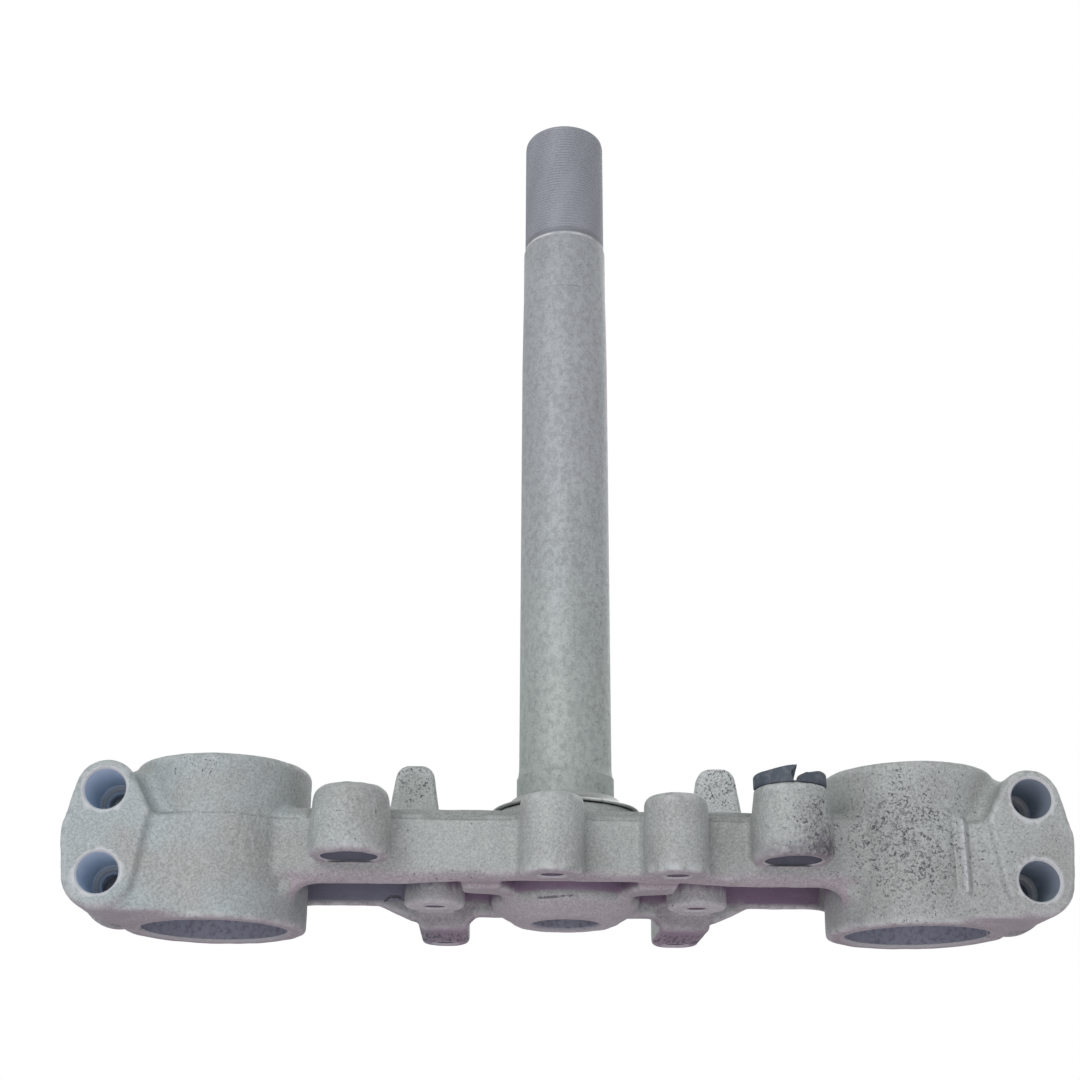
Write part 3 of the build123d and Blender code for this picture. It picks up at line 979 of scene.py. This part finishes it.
    def plugs(self) -> list[Surface]:
        """What fills the CAD form's holes before it is cast, and the lugs behind the slits."""
        more = self.plug_margin
        plugs = [
            turned([(hole.radius + more, hole.low), (hole.radius + more, hole.high)], hole.axis())
            for hole in self.upright_holes()
        ]
        wide, back = self.seat_radius + more, self.ear_back - 2.0
        clamp, lug = Fitting.named("left_fork_clamp").centre, self.lug_radius
        profile = [(lug, clamp[1]), (lug, self.lug_end - 4.0), (lug - 3.0, self.lug_end)]
        for spot in self.pinch_spots():
            plugs.append(turned([(wide, self.ear_face), (wide, back)], spot * (1, 0, 1), Way.BACK))
            if spot[2] < clamp[2]:
                plugs.append(turned(profile, spot * (1, 0, 1), Way.BACK))
        wide = self.foot_radius + more
        plugs.append(turned([(wide, self.hub_bottom), (wide, self.hub_top)], np.zeros(3)))
        return plugs

    def rough(self) -> bpy.types.Object:
        """The casting before machining: a merged copy of the CAD mesh with its holes filled, in one skin."""
        piece = bpy.data.objects.new("yoke_casting", frame["nodes"][self.node].data.copy())
        bpy.context.scene.collection.objects.link(piece)
        work = bmesh.new()
        work.from_mesh(piece.data)
        bmesh.ops.remove_doubles(work, verts=work.verts, dist=1e-6)
        for plug in self.plugs():
            work.from_mesh(plug.mesh("plug"))
        work.to_mesh(piece.data)
        work.free()
        skin = piece.modifiers.new("skin", "REMESH")
        skin.mode, skin.voxel_size, skin.adaptivity = "VOXEL", self.grain * MM, 0.0
        settle_modifiers(piece)
        return piece

    def soften(self, piece: bpy.types.Object) -> None:
        """Round the casting: points move towards the mean of their neighbours, then the skin swells a little.

        How far a point stands out from its neighbours after that is painted as convex.
        """
        points, edges = read_points(piece.data), read_edges(piece.data)
        for _ in range(self.soften_passes):
            points += self.soften_share * (neighbour_mean(points, edges) - points)
        worn = self.worn(points)[:, None]
        for _ in range(self.worn_passes):
            points += self.soften_share * worn * (neighbour_mean(points, edges) - points)
        write_points(piece.data, points)
        normals = read_normals(piece.data)
        bend = ((neighbour_mean(points, edges) - points) * normals).sum(1)[:, None]
        for _ in range(self.convex_passes):
            bend = neighbour_mean(bend, edges)
        paint(piece.data, "convex", smoothstep(0.012, 0.06, -bend[:, 0] / self.grain))
        points += normals * self.swell(points)[:, None]
        self.shift_edges(points)
        write_points(piece.data, points)
        thin = piece.modifiers.new("thin", "DECIMATE")
        thin.ratio = min(1.0, self.most_triangles / (2.0 * len(piece.data.polygons)))
        settle_modifiers(piece)

    def worn(self, points: np.ndarray) -> np.ndarray:
        """Where edges are rounder: hub and ribs, the front wall's foot, the clamps' corners and ledges."""
        x, y, z = points.T
        side = np.abs(x)
        clear = smoothstep(8.6, 10.0, self.from_post(points))
        middle = fall(30.0, 40.0, side) * (y > -28.0) * fall(5.0, 9.0, y) * clear
        wall = (side < 76.0) * (y < self.wall_rear) * (y > self.wall_front)
        foot = fall(11.5, 14.0, z)
        corner = band(side, (100.0, 104.0), (122.0, 128.0)) * (y < -18.0) * fall(4.0, 8.0, z)
        ledge = (side > 66.0) * (y > -37.5) * fall(1.5, 3.0, np.abs(z - self.parting))
        return np.clip(np.maximum(middle, wall) * foot + corner + ledge, 0.0, 1.0)

    def swell(self, points: np.ndarray) -> np.ndarray:
        """How far the skin rises: long waves, short ones where it is rough, a ridge between two grooves."""
        x, y, z = points.T
        rough = self.coarse(points)
        lumps = waves(points, self.lump_length, 3) + 1.2 * rough * waves(points, 0.35 * self.lump_length, 5)
        lumps *= self.lump_height * (0.6 + rough)
        across = x - self.ridge_x
        ridge = np.exp(-((across / 0.9) ** 2)) - 0.5 * np.exp(-(((np.abs(across) - 2.2) / 0.9) ** 2))
        ridge *= band(z, (6.0, 10.0), (26.0, 30.0))
        return lumps + self.ridge_height * ridge * (y < -30.0)

    def shift_edges(self, points: np.ndarray) -> None:
        """Raise the front wall's foot at mid-length and lower the hub's front edge, in place."""
        x, y, z = points.T
        foot = fall(self.channel_foot, self.channel_foot + 5.0, z)
        wall = fall(24.0, 46.0, np.abs(x)) * band(y, (-33.5, -31.0), (-24.6, -23.6))
        points[:, 2] += self.wall_lift * foot * wall * (z > self.channel_foot - 1.0)
        edge = band(np.hypot(x, y), (14.0, 20.0), (21.6, 22.2)) * (y < -6.0) * (z < 14.0)
        points[:, 2] -= self.hub_drop * edge

    def coarse(self, points: np.ndarray) -> np.ndarray:
        """How rough the skin is: 1 on the large bosses, less along the beam, 0 on the ears."""
        stay = Fitting.named("left_stay_bore").centre
        bosses = [Patch(1.0, (s.value * stay[0], stay[1] - 4.0, 24.0), (11.0, 10.0, 12.0)) for s in Side]
        return np.clip(sum(patch.share(points) for patch in (*bosses, *self.rough_patches)), 0.0, 1.0)

    def machine(self, piece: bpy.types.Object) -> None:
        """Bore, drill and slit the casting with turned and flat tools."""
        mouth, bottom, floor = Fitting.named("stem_bore").radius, self.hub_bottom, self.hub_floor
        profile = [(mouth + 1.6, bottom - self.past), (mouth, bottom + 0.6), (mouth, floor)]
        profile += [(self.foot_radius, floor), (self.foot_radius, self.hub_top + self.past)]
        bores = turned(profile, np.zeros(3))
        for hole in self.upright_holes():
            bores += hole.tool(self.edge_row)
        carve(piece, bores)
        clear = Fitting.named("left_pinch_screws").radius
        middle = Fitting.named("left_fork_clamp").centre[1]
        face, lip, wide = self.ear_face, self.hole_chamfer, self.seat_radius
        for spot in self.pinch_spots():
            floor = spot[1]
            profile = [
                (wide + lip + self.past, face - self.past),
                (wide, face + lip),
                (wide, face + lip + self.edge_row),
                (wide, floor - 0.8),
                (wide - 0.7, floor - 0.1),
                (clear + 0.9, floor),
                (clear + 0.8, floor + 0.2),
                (clear, floor + 0.9),
                (clear, middle),
                (self.tap_radius, middle),
                (self.tap_radius, self.ear_back + self.past),
            ]
            carve(piece, turned(profile, spot * (1, 0, 1), Way.BACK, 64))
        left, right = self.slits()
        carve(piece, left + right)

    def keep_in_box(self, piece: bpy.types.Object) -> None:
        """Bring back every point that left the CAD form's box."""
        box = read_points(frame["nodes"][self.node].data)
        write_points(piece.data, np.clip(read_points(piece.data), box.min(0), box.max(0)))

    def mark_cuts(self, points: np.ndarray) -> dict[str, np.ndarray]:
        """Find the machined walls.

        Args:
            points: the casting's points.

        Returns:
            A share for each point: of machined wall, of painted shade in a small hole, of screw seat and of
                pale ring.
        """
        x, y, z = points.T
        cut, rim, small, seats = (np.zeros(len(points)) for _ in range(4))
        for hole in self.upright_holes():
            wall, ring = hole.shares(points)
            fork = hole.radius > self.foot_radius
            cut, rim = np.maximum(cut, wall), np.maximum(rim, ring * (0.45 if fork else 0.7))
            # small holes, but not the fork bores, get painted shade
            small = np.maximum(small, 0.0 * wall if fork else 0.85 * wall)
        mouth = Fitting.named("stem_bore").radius
        cut = np.maximum(cut, (np.hypot(x, y) < mouth + 0.1) & (z > self.hub_bottom))
        clear = Fitting.named("left_pinch_screws").radius
        middle = Fitting.named("left_fork_clamp").centre[1]
        for spot in self.pinch_spots():
            away, depth = np.hypot(x - spot[0], z - spot[2]), y - self.ear_face
            reach = np.where(y > middle - 0.2, self.tap_radius + 0.15, clear + 0.15)
            reach = np.where(y < spot[1] + 1.0, self.seat_radius + self.hole_chamfer + 0.1, reach)
            inside = (away < reach) & (y < self.ear_back) & (depth > -0.1)
            lip = inside & (depth < self.hole_chamfer + 0.05) & (away > self.seat_radius - 0.1)
            seat = inside & (np.abs(y - spot[1]) < 0.25)
            cut = np.maximum(cut, inside & ~lip & ~seat)
            seats = np.maximum(seats, inside & ~lip & (depth < spot[1] - self.ear_face + 2.0))
            rim = np.maximum(rim, np.where(lip, 1.0, np.where(seat, 0.6, 0.0)))
        return {"machined": cut, "small": small, "seat": seats, "lip": rim}

    def mark_recess_shade(self, points: np.ndarray) -> np.ndarray:
        """Painted shade in the channel, its pockets and the slot round the hub, but not at the feet of the
        walls.
        """
        x, y, z = points.T
        inside = (y > self.channel_front - 0.6) & (y < self.channel_rear + 0.6)
        inside &= np.abs(x) < self.channel_half
        foot = np.full(len(points), self.channel_foot + 0.3)
        foot = np.where(self.from_post(points) < self.post_radius + 0.7, 13.0, foot)
        foot = np.where(np.hypot(x, y) < self.hub_radius + 1.0, self.channel_foot - 0.6, foot)
        return inside * smoothstep(0.0, 1.3, z - foot) * fall(0.4, 1.2, z - self.channel_top)

    def mark_tabs(self, points: np.ndarray, normals: np.ndarray) -> np.ndarray:
        """The stained lower half of the rear tabs, where it faces forwards or down; it also takes painted
        shade and painted mauve bounce light.
        """
        x, y, z = points.T
        tab, rear = Fitting.named("rear_fender_holes"), self.channel_rear
        tabs = smoothstep(rear - 1.0, rear + 2.0, y) * fall(9.0, 12.0, z)
        tabs *= np.abs(np.abs(x) - tab.spacing / 2) < self.tab_half + 1.5
        return tabs * smoothstep(0.1, 0.6, np.maximum(-normals[:, 1], -normals[:, 2]))

    def mark_worn_and_lit(self, points: np.ndarray) -> np.ndarray:
        """Painted light on the fender posts and under the hub, and paler worn metal on the steering stops,
        mostly the right one.
        """
        x, y, z = points.T
        posts = (self.from_post(points) < self.post_radius + 0.6) * (z < 14.0) * (y < self.channel_rear - 0.5)
        stops = (np.abs(np.abs(x) - self.stop_x) < 9.5) * (np.abs(y + 2.0) < 5.0)
        stops = stops * smoothstep(self.stop_foot, self.stop_foot + 2.0, z)
        hub = (np.hypot(x, y) < self.hub_radius + 1.0) * fall(8.0, 11.0, z)
        # posts and hub: painted light; stops: wear
        return 0.62 * posts + np.where(x > 0.0, 0.85, 0.1) * stops + 0.22 * hub

    def mark(self, piece: bpy.types.Object) -> None:
        """Paint where the casting is machined, worn, sooted, streaked, rough, specked or parted, and where
        painted light, painted shade and painted mauve bounce light go.
        """
        points, normals = read_points(piece.data), read_normals(piece.data)
        x, y, z = points.T
        side = np.abs(x)
        cuts, tabs = self.mark_cuts(points), self.mark_tabs(points, normals)
        soot = sum(patch.share(points) for patch in self.soot_patches)
        specks = 0.04 + sum(patch.share(points) for patch in self.speck_patches) + 0.35 * tabs
        ridge = np.exp(-(((x - self.ridge_x) / 0.7) ** 2)) * (y < -30.0) * (z > 8.0) * (z < 28.0)
        # faces that point down take painted mauve bounce light
        down = smoothstep(0.2, 0.9, -normals[:, 2])
        # the front wall's foot takes painted mauve shade
        foot = (y < self.wall_rear) * (y > self.wall_front) * (side < 74.0) * fall(11.5, 15.5, z)
        seam = np.where(x < 0.0, 1.0, 0.3) * (side > 72.0) * smoothstep(-38.0, -37.6, y) * (y < -14.0)
        shares = {
            "machined": cuts["machined"],
            "lip": np.maximum(cuts["lip"], 0.7 * ridge),
            # painted light on the posts and hub, wear on the stops
            "silver": self.mark_worn_and_lit(points),
            "soot": soot,
            # screw seats take painted light in the finish
            "seat": cuts["seat"],
            # painted shade in the channel, the slot, the small holes and on the tabs, with soot patches
            "dirt": np.maximum.reduce([self.mark_recess_shade(points), cuts["small"], 0.62 * tabs, 0.45 * soot]),
            "purple": smoothstep(-42.0, -30.0, x) * (1.0 - (cuts["small"] > 0.0) * (side > 50.0)),
            "streaks": tabs * band(y, (9.0, 14.0), (27.0, 30.0)),
            # under: painted mauve bounce light and shade on faces that point down, on the tabs and at the
            # wall's foot
            "under": np.maximum.reduce([0.6 * down, tabs, 0.8 * foot]),
            "rough": self.coarse(points),
            "speckle": np.clip(specks, 0.0, 1.0),
            # strip: where painted shade darkens the front wall above the parting height
            "strip": (side < 70.4) * smoothstep(-31.4, -31.0, y) * (y < -22.0),
            "seam": seam,
        }
        for name, values in shares.items():
            paint(piece.data, name, values)

    def build(self) -> bpy.types.Object:
        """Cast, soften, machine and mark the yoke."""
        piece = self.rough()
        self.soften(piece)
        self.machine(piece)
        self.keep_in_box(piece)
        self.mark(piece)
        smooth(piece.data, self.sharp_angle)
        return piece


@dataclass
class SteeringStem:
    """The hollow stem, turned from one profile, with a cut thread at its top.

    Sizes are millimetres, and heights start at the clamps' undersides.
    """

    node: str = "steering_stem"
    foot_radius: float = 14.3
    foot: float = 8.1
    seat: float = 39.4
    tube_radius: float = 13.35
    run_out: float = 2.6
    taper: float = 23.0
    journal_foot: float = 201.9
    journal_lip: float = 0.3
    shoulder: float = 221.5
    shoulder_round: float = 0.5
    top: float = 262.4
    top_round: float = 1.6
    bore_lip: float = 0.8
    thread_pitch: float = 1.0
    thread_depth: float = 0.28
    thread_power: float = 1.3
    thread_rows: int = 8
    inside_most: float = 12.0
    segments: int = 144
    sharp_angle: float = 40.0

    def profile(self) -> np.ndarray:
        """The (radius, height) points of the section, up the outside and down the bore."""
        lower = Fitting.named("lower_bearing_seat")
        upper = Fitting.named("upper_bearing_seat").radius
        thread, bore = Fitting.named("steering_thread").radius, Fitting.named("stem_bore").radius
        journal_top, lip, edge = self.seat + lower.length, self.journal_lip, self.top_round
        corners = [
            (bore, self.foot),
            (self.foot_radius, self.foot),
            (self.foot_radius, self.seat),
            (lower.radius, self.seat),
            (lower.radius, journal_top - lip),
            (lower.radius - lip, journal_top),
            (self.tube_radius, journal_top + self.run_out),
            (self.tube_radius, self.journal_foot - self.taper),
            (upper + 0.05, self.journal_foot - lip),
            (upper, self.journal_foot),
            (upper, self.shoulder - self.shoulder_round - 0.8),
            (upper - lip, self.shoulder - self.shoulder_round),
            (thread - 0.1, self.shoulder),
        ]
        rows = int((self.top - edge - self.shoulder) / self.thread_pitch * self.thread_rows)
        heights = np.linspace(self.shoulder, self.top - edge, rows)[1:]
        threaded = np.stack([np.full_like(heights, thread), heights], 1)
        crown = arc((thread - edge, self.top - edge), edge, np.linspace(0.0, math.pi / 2, 7))[1:]
        inside = [(bore + self.bore_lip, self.top), (bore, self.top - self.bore_lip)]
        inside += [(bore, self.top - 60), (bore, self.foot + 40)]
        return np.vstack([np.array(corners), threaded, crown, np.array(inside)])

    def build(self) -> bpy.types.Object:
        """Turn the profile and cut the thread.

        The thread takes a triangle wave of height less pitch times turns, raised to a power, off the radius.

        Returns:
            The stem.
        """
        profile = self.profile()
        surface = turned(profile, np.zeros(3), segments=self.segments, ring=True)
        points = surface.points.reshape(len(profile), self.segments, 3)
        height = points[..., 2]
        away = np.hypot(points[..., 0], points[..., 1])
        turn = np.linspace(0.0, 1.0, self.segments, endpoint=False)
        phase = (height / self.thread_pitch - turn) % 1.0
        groove = np.abs(2.0 * phase - 1.0) ** self.thread_power
        reach = smoothstep(self.shoulder + 0.6, self.shoulder + 2.2, height) * (away > self.inside_most)
        reach *= fall(self.top - 1.6, self.top - 0.4, height)
        scale = 1.0 - self.thread_depth * groove * reach / away
        points[..., :2] *= scale[..., None]
        surface.points = points.reshape(-1, 3)
        return surface.closed_piece("threaded_stem", self.sharp_angle)


@dataclass
class DustWasher:
    """The dished ring round the stem's foot, with a thin lip bent down at its rim.

    Sizes are millimetres, and heights start at the clamps' undersides.
    """

    node: str = "dust_seal_washer"
    inner: float = 14.33
    seat: float = 36.2
    seat_radius: float = 17.0
    rim: float = 21.1
    rim_under: float = 35.5
    rim_thickness: float = 0.9
    collar: float = 15.9
    collar_top: float = 38.5
    bearing: float = 39.4
    dish: Span = (-0.35, -0.45)
    wave: float = 0.12
    wave_count: float = 3.0
    wave_phase: float = 0.7
    segments: int = 128
    sharp_angle: float = 40.0

    def profile(self) -> np.ndarray:
        """The (radius, height) points of the section: under the ring, round its lip, back over the dish."""
        t, half = np.linspace(0.0, 1.0, 9)[1:-1, None], self.rim_thickness / 2
        seat, edge = np.array((self.seat_radius, self.seat)), np.array((self.rim - half, self.rim_under))
        under = seat + (edge - seat) * t
        lip = arc((self.rim - half, self.rim_under + half), half, np.linspace(-math.pi / 2, math.pi / 2, 7))
        start = np.array((self.rim - half, self.rim_under + self.rim_thickness))
        end = np.array((self.collar, self.collar_top))
        bow = start + (end - start) * t + np.array(self.dish) * np.sin(math.pi * t)
        collar = [
            (self.collar - 0.1, self.bearing - 0.5),
            (self.collar - 0.4, self.bearing - 0.2),
            (self.inner, self.bearing - 0.1),
        ]
        return np.vstack([[(self.inner, self.seat)], [seat], under, lip, bow, [end], collar])

    def build(self) -> bpy.types.Object:
        """Turn the section, whose rim rises and falls by a sine round the ring, and paint bare metal with a
        painted highlight on a stretch of it.
        """
        surface = turned(self.profile(), np.zeros(3), segments=self.segments, ring=True)
        x, y, z = surface.points.T
        bend = smoothstep(self.seat_radius, self.rim, np.hypot(x, y)) * self.wave
        z += bend * np.sin(self.wave_count * np.arctan2(y, x) + self.wave_phase)
        piece = surface.closed_piece("dust_washer", self.sharp_angle)
        x, y, _ = read_points(piece.data).T
        # a stretch of the rim's front at the right takes the painted highlight
        bare = smoothstep(19.6, 20.6, np.hypot(x, y)) * (y < 4.0)
        paint(piece.data, "bare", bare * band(x, (2.0, 7.0), (14.0, 18.0)))
        return piece


@dataclass
class StayBush:
    """The flanged bush in the right boss; its flange is torn open at the front.

    Sizes are millimetres; the tear's places and the flange's tops are measured from its own foot.
    """

    node: str = "stay_bush"
    outer: float = 9.7
    flange_bottom: float = 35.2
    flange_height: float = 4.0
    crown: float = 0.7
    lip: float = 0.6
    spigot_radius: float = 7.4
    spigot_bottom: float = 26.2
    spigot_overlap: float = 0.3
    bore: float = 4.5
    tear_left: float = -0.5
    tear_right: float = 1.1
    plain_top: float = 3.7
    right_top: float = 2.7
    tip_top: float = 4.6
    hook_start: float = 2.5
    columns: int = 128
    sharp_angle: float = 35.0

    def section(self) -> np.ndarray:
        """The (radius, height) points of the untorn flange's section."""
        low, outer, crown = self.flange_bottom, self.outer, self.crown
        top = low + self.flange_height
        sides = np.linspace(0.5, self.flange_height - crown, 6)[:-1]
        return np.vstack(
            [
                [(self.bore, low), (outer - 0.3, low)],
                np.stack([np.full_like(sides, outer), low + sides], 1),
                arc((outer - crown, top - crown), crown, np.linspace(0.0, math.pi / 2, 5)),
                [(self.bore + self.lip, top), (self.bore, top - self.lip)],
            ]
        )

    def flange(self) -> Surface:
        """The torn flange: a section carried round the axis from one torn end to the other.

        The right end's place across the front grows with the square of the height. The left end's swings out
        by a sine and then hooks over to a tip by a smooth step. Smooth steps also lower the top at the right
        end and raise it at the tip.

        Returns:
            A closed C-shaped ring.
        """
        middle, low = Fitting.named("right_bush_bore").centre, self.flange_bottom
        radius, height = self.section().T
        rise = height - low
        right, left = rise * self.right_top / self.flange_height, rise * self.tip_top / self.flange_height
        right_x = self.tear_right + 0.2 * right + 0.19 * right**2
        left_x = self.tear_left - 0.8 * np.sin(math.pi / 2 * np.minimum(left / self.hook_start, 1.0))
        left_x += 1.8 * smoothstep(self.hook_start, self.tip_top, left)
        start = np.arcsin(right_x / self.outer) - math.pi / 2
        end = np.arcsin(left_x / self.outer) + 1.5 * math.pi
        share = np.linspace(0.0, 1.0, self.columns)[:, None]
        angle = start + (end - start) * share
        crest = self.plain_top + (self.right_top - self.plain_top) * fall(0.0, 0.10, share)
        crest += (self.tip_top - self.plain_top) * smoothstep(0.84, 1.0, share)
        x, y = middle[0] + radius * np.cos(angle), middle[1] + radius * np.sin(angle)
        points = np.stack([x, y, low + rise * crest / self.flange_height], -1)
        rows, columns = points.shape[:2]
        caps = [list(range(columns)), list(range((rows - 1) * columns, rows * columns))[::-1]]
        return Surface(points.reshape(-1, 3), grid_quads(rows, columns, False), caps)

    def build(self) -> bpy.types.Object:
        """The flange and the plain spigot below it."""
        top = self.flange_bottom + self.spigot_overlap
        spigot = [
            (self.bore, self.spigot_bottom),
            (self.spigot_radius - self.lip, self.spigot_bottom),
            (self.spigot_radius, self.spigot_bottom + self.lip),
            (self.spigot_radius, top),
            (self.bore, top),
        ]
        axis = Fitting.named("right_bush_bore").centre * (1, 1, 0)
        both = self.flange() + turned(spigot, axis, ring=True)
        return both.closed_piece("torn_stay_bush", self.sharp_angle)


@dataclass(frozen=True)
class Lamp:
    """A square lamp that faces the object: places and side in metres, power in watts."""

    name: str
    place: Place
    side: float
    power: float
    colour: Colour = (1.0, 1.0, 1.0)
    aim: Place = (0.0, 0.0, 0.05)

    def build(self) -> None:
        """Put the lamp in its place and turn it to its aim."""
        data = bpy.data.lights.new(self.name, "AREA")
        data.size, data.energy, data.color = self.side, self.power, self.colour
        made = bpy.data.objects.new(self.name, data)
        bpy.context.scene.collection.objects.link(made)
        turn = (Vector(self.aim) - Vector(self.place)).to_track_quat("-Z", "Y")
        made.matrix_world = Matrix.Translation(self.place) @ turn.to_matrix().to_4x4()


@dataclass
class Studio:
    """Camera, pale floor, soft lamps and a white background.

    The camera was fitted to the photograph: focal length and picture centre in pixels, angles in degrees,
    stand in millimetres above the clamps' undersides.
    """

    focal: float = 1625.0
    picture_centre: tuple[float, float] = (540.0, 600.0)
    pitch: float = 20.10
    yaw: float = -1.75
    roll: float = -0.22
    stand: Place = (-21.5, -457.8, -66.4)
    sensor: float = 36.0
    floor_half: float = 1.2
    floor_fade: float = 0.35
    floor_colour: Colour = (0.80, 0.80, 0.80)
    light_below: Colour = (0.72, 0.64, 0.70)
    light_above: Colour = (0.42, 0.44, 0.44)
    background: Colour = (1.0, 1.0, 1.0)
    lamps: tuple[Lamp, ...] = (
        Lamp("key", (-0.55, -1.05, 0.45), 0.8, 5.2),
        Lamp("low", (-0.05, -1.05, -0.50), 0.8, 2.7, (1.0, 0.97, 0.99)),
        Lamp("rim", (0.5, 0.8, 0.6), 0.6, 2.0, (0.98, 0.99, 1.0)),
    )

    def camera(self) -> None:
        """Place the camera: turned by yaw about Z, then pitch about X, then roll about its own axis."""
        data = bpy.data.cameras.new("camera")
        eye = bpy.data.objects.new("camera", data)
        bpy.context.scene.collection.objects.link(eye)
        turn = Matrix.Rotation(math.radians(self.yaw), 4, "Z")
        turn = turn @ Matrix.Rotation(math.radians(90.0 + self.pitch), 4, "X")
        turn = turn @ Matrix.Rotation(math.radians(-self.roll), 4, "Z")
        place = (np.array(self.stand) - (0.0, 0.0, BENCH)) * MM
        eye.matrix_world = Matrix.Translation(place.tolist()) @ turn
        data.sensor_width = self.sensor
        data.lens = self.focal / PICTURE * self.sensor
        data.shift_x = (PICTURE / 2 - self.picture_centre[0]) / PICTURE
        data.shift_y = (self.picture_centre[1] - PICTURE / 2) / PICTURE
        bpy.context.scene.camera = eye

    def floor(self) -> None:
        """A pale floor under the clamps, seen from above only, that fades out into the background."""
        half = self.floor_half / MM
        corners = np.array([(-half, -half, 0.0), (half, -half, 0.0), (half, half, 0.0), (-half, half, 0.0)])
        piece = Surface(corners, np.array([[0, 1, 2, 3]])).piece("floor")
        made, t = new_tree("pale_floor")
        front = 1.0 - t.node("ShaderNodeNewGeometry", {}, {}, "Backfacing")
        away = t.vector("LENGTH", {0: t.place()}, "Value")
        shown = t.rays("Camera", "Glossy") * front * (1.0 - away.step(self.floor_fade, self.floor_half))
        clear = t.node("ShaderNodeBsdfTransparent", {}, {})
        pale = t.node("ShaderNodeBsdfDiffuse", {}, {"Color": self.floor_colour})
        shader = t.node("ShaderNodeMixShader", {}, {0: shown, 1: clear, 2: pale})
        t.node("ShaderNodeOutputMaterial", {}, {"Surface": shader})
        piece.data.materials.append(made)

    def world(self) -> None:
        """White for what the camera and reflections see; soft light, mauve from below, for the rest."""
        world = bpy.data.worlds.new("studio")
        bpy.context.scene.world = world
        t = FinishTree(world)
        sky = t.node("ShaderNodeTexCoord", {}, {}, "Generated")
        up = t.node("ShaderNodeSeparateXYZ", {}, {0: sky}, 2)
        light = t.blend(up.step(-0.6, 0.4), self.light_below, self.light_above)
        shown = t.blend(t.rays("Camera", "Glossy", "Transmission"), light, self.background)
        shader = t.node("ShaderNodeBackground", {}, {"Color": shown, "Strength": 1.0})
        t.node("ShaderNodeOutputWorld", {}, {"Surface": shader})

    def build(self) -> None:
        """Set the stage."""
        bpy.context.scene.view_settings.view_transform = "Standard"
        self.camera()
        self.floor()
        self.world()
        for lamp in self.lamps:
            lamp.build()


def main() -> None:
    """Build every piece in order, dress it and set the stage."""
    logging.basicConfig(level=logging.INFO, format="%(name)s: %(message)s")
    pieces = (
        (YokeCasting(), Slot.YOKE, CastFinish()),
        (SteeringStem(), Slot.STEM, StemFinish()),
        (DustWasher(), Slot.WASHER, WasherFinish()),
        (StayBush(), Slot.BUSH, BushFinish()),
    )
    for maker, slot, finish in pieces:
        hand_in(maker.build(), maker.node, finish.material())
    Studio().build()


if __name__ == "__main__":
    main()
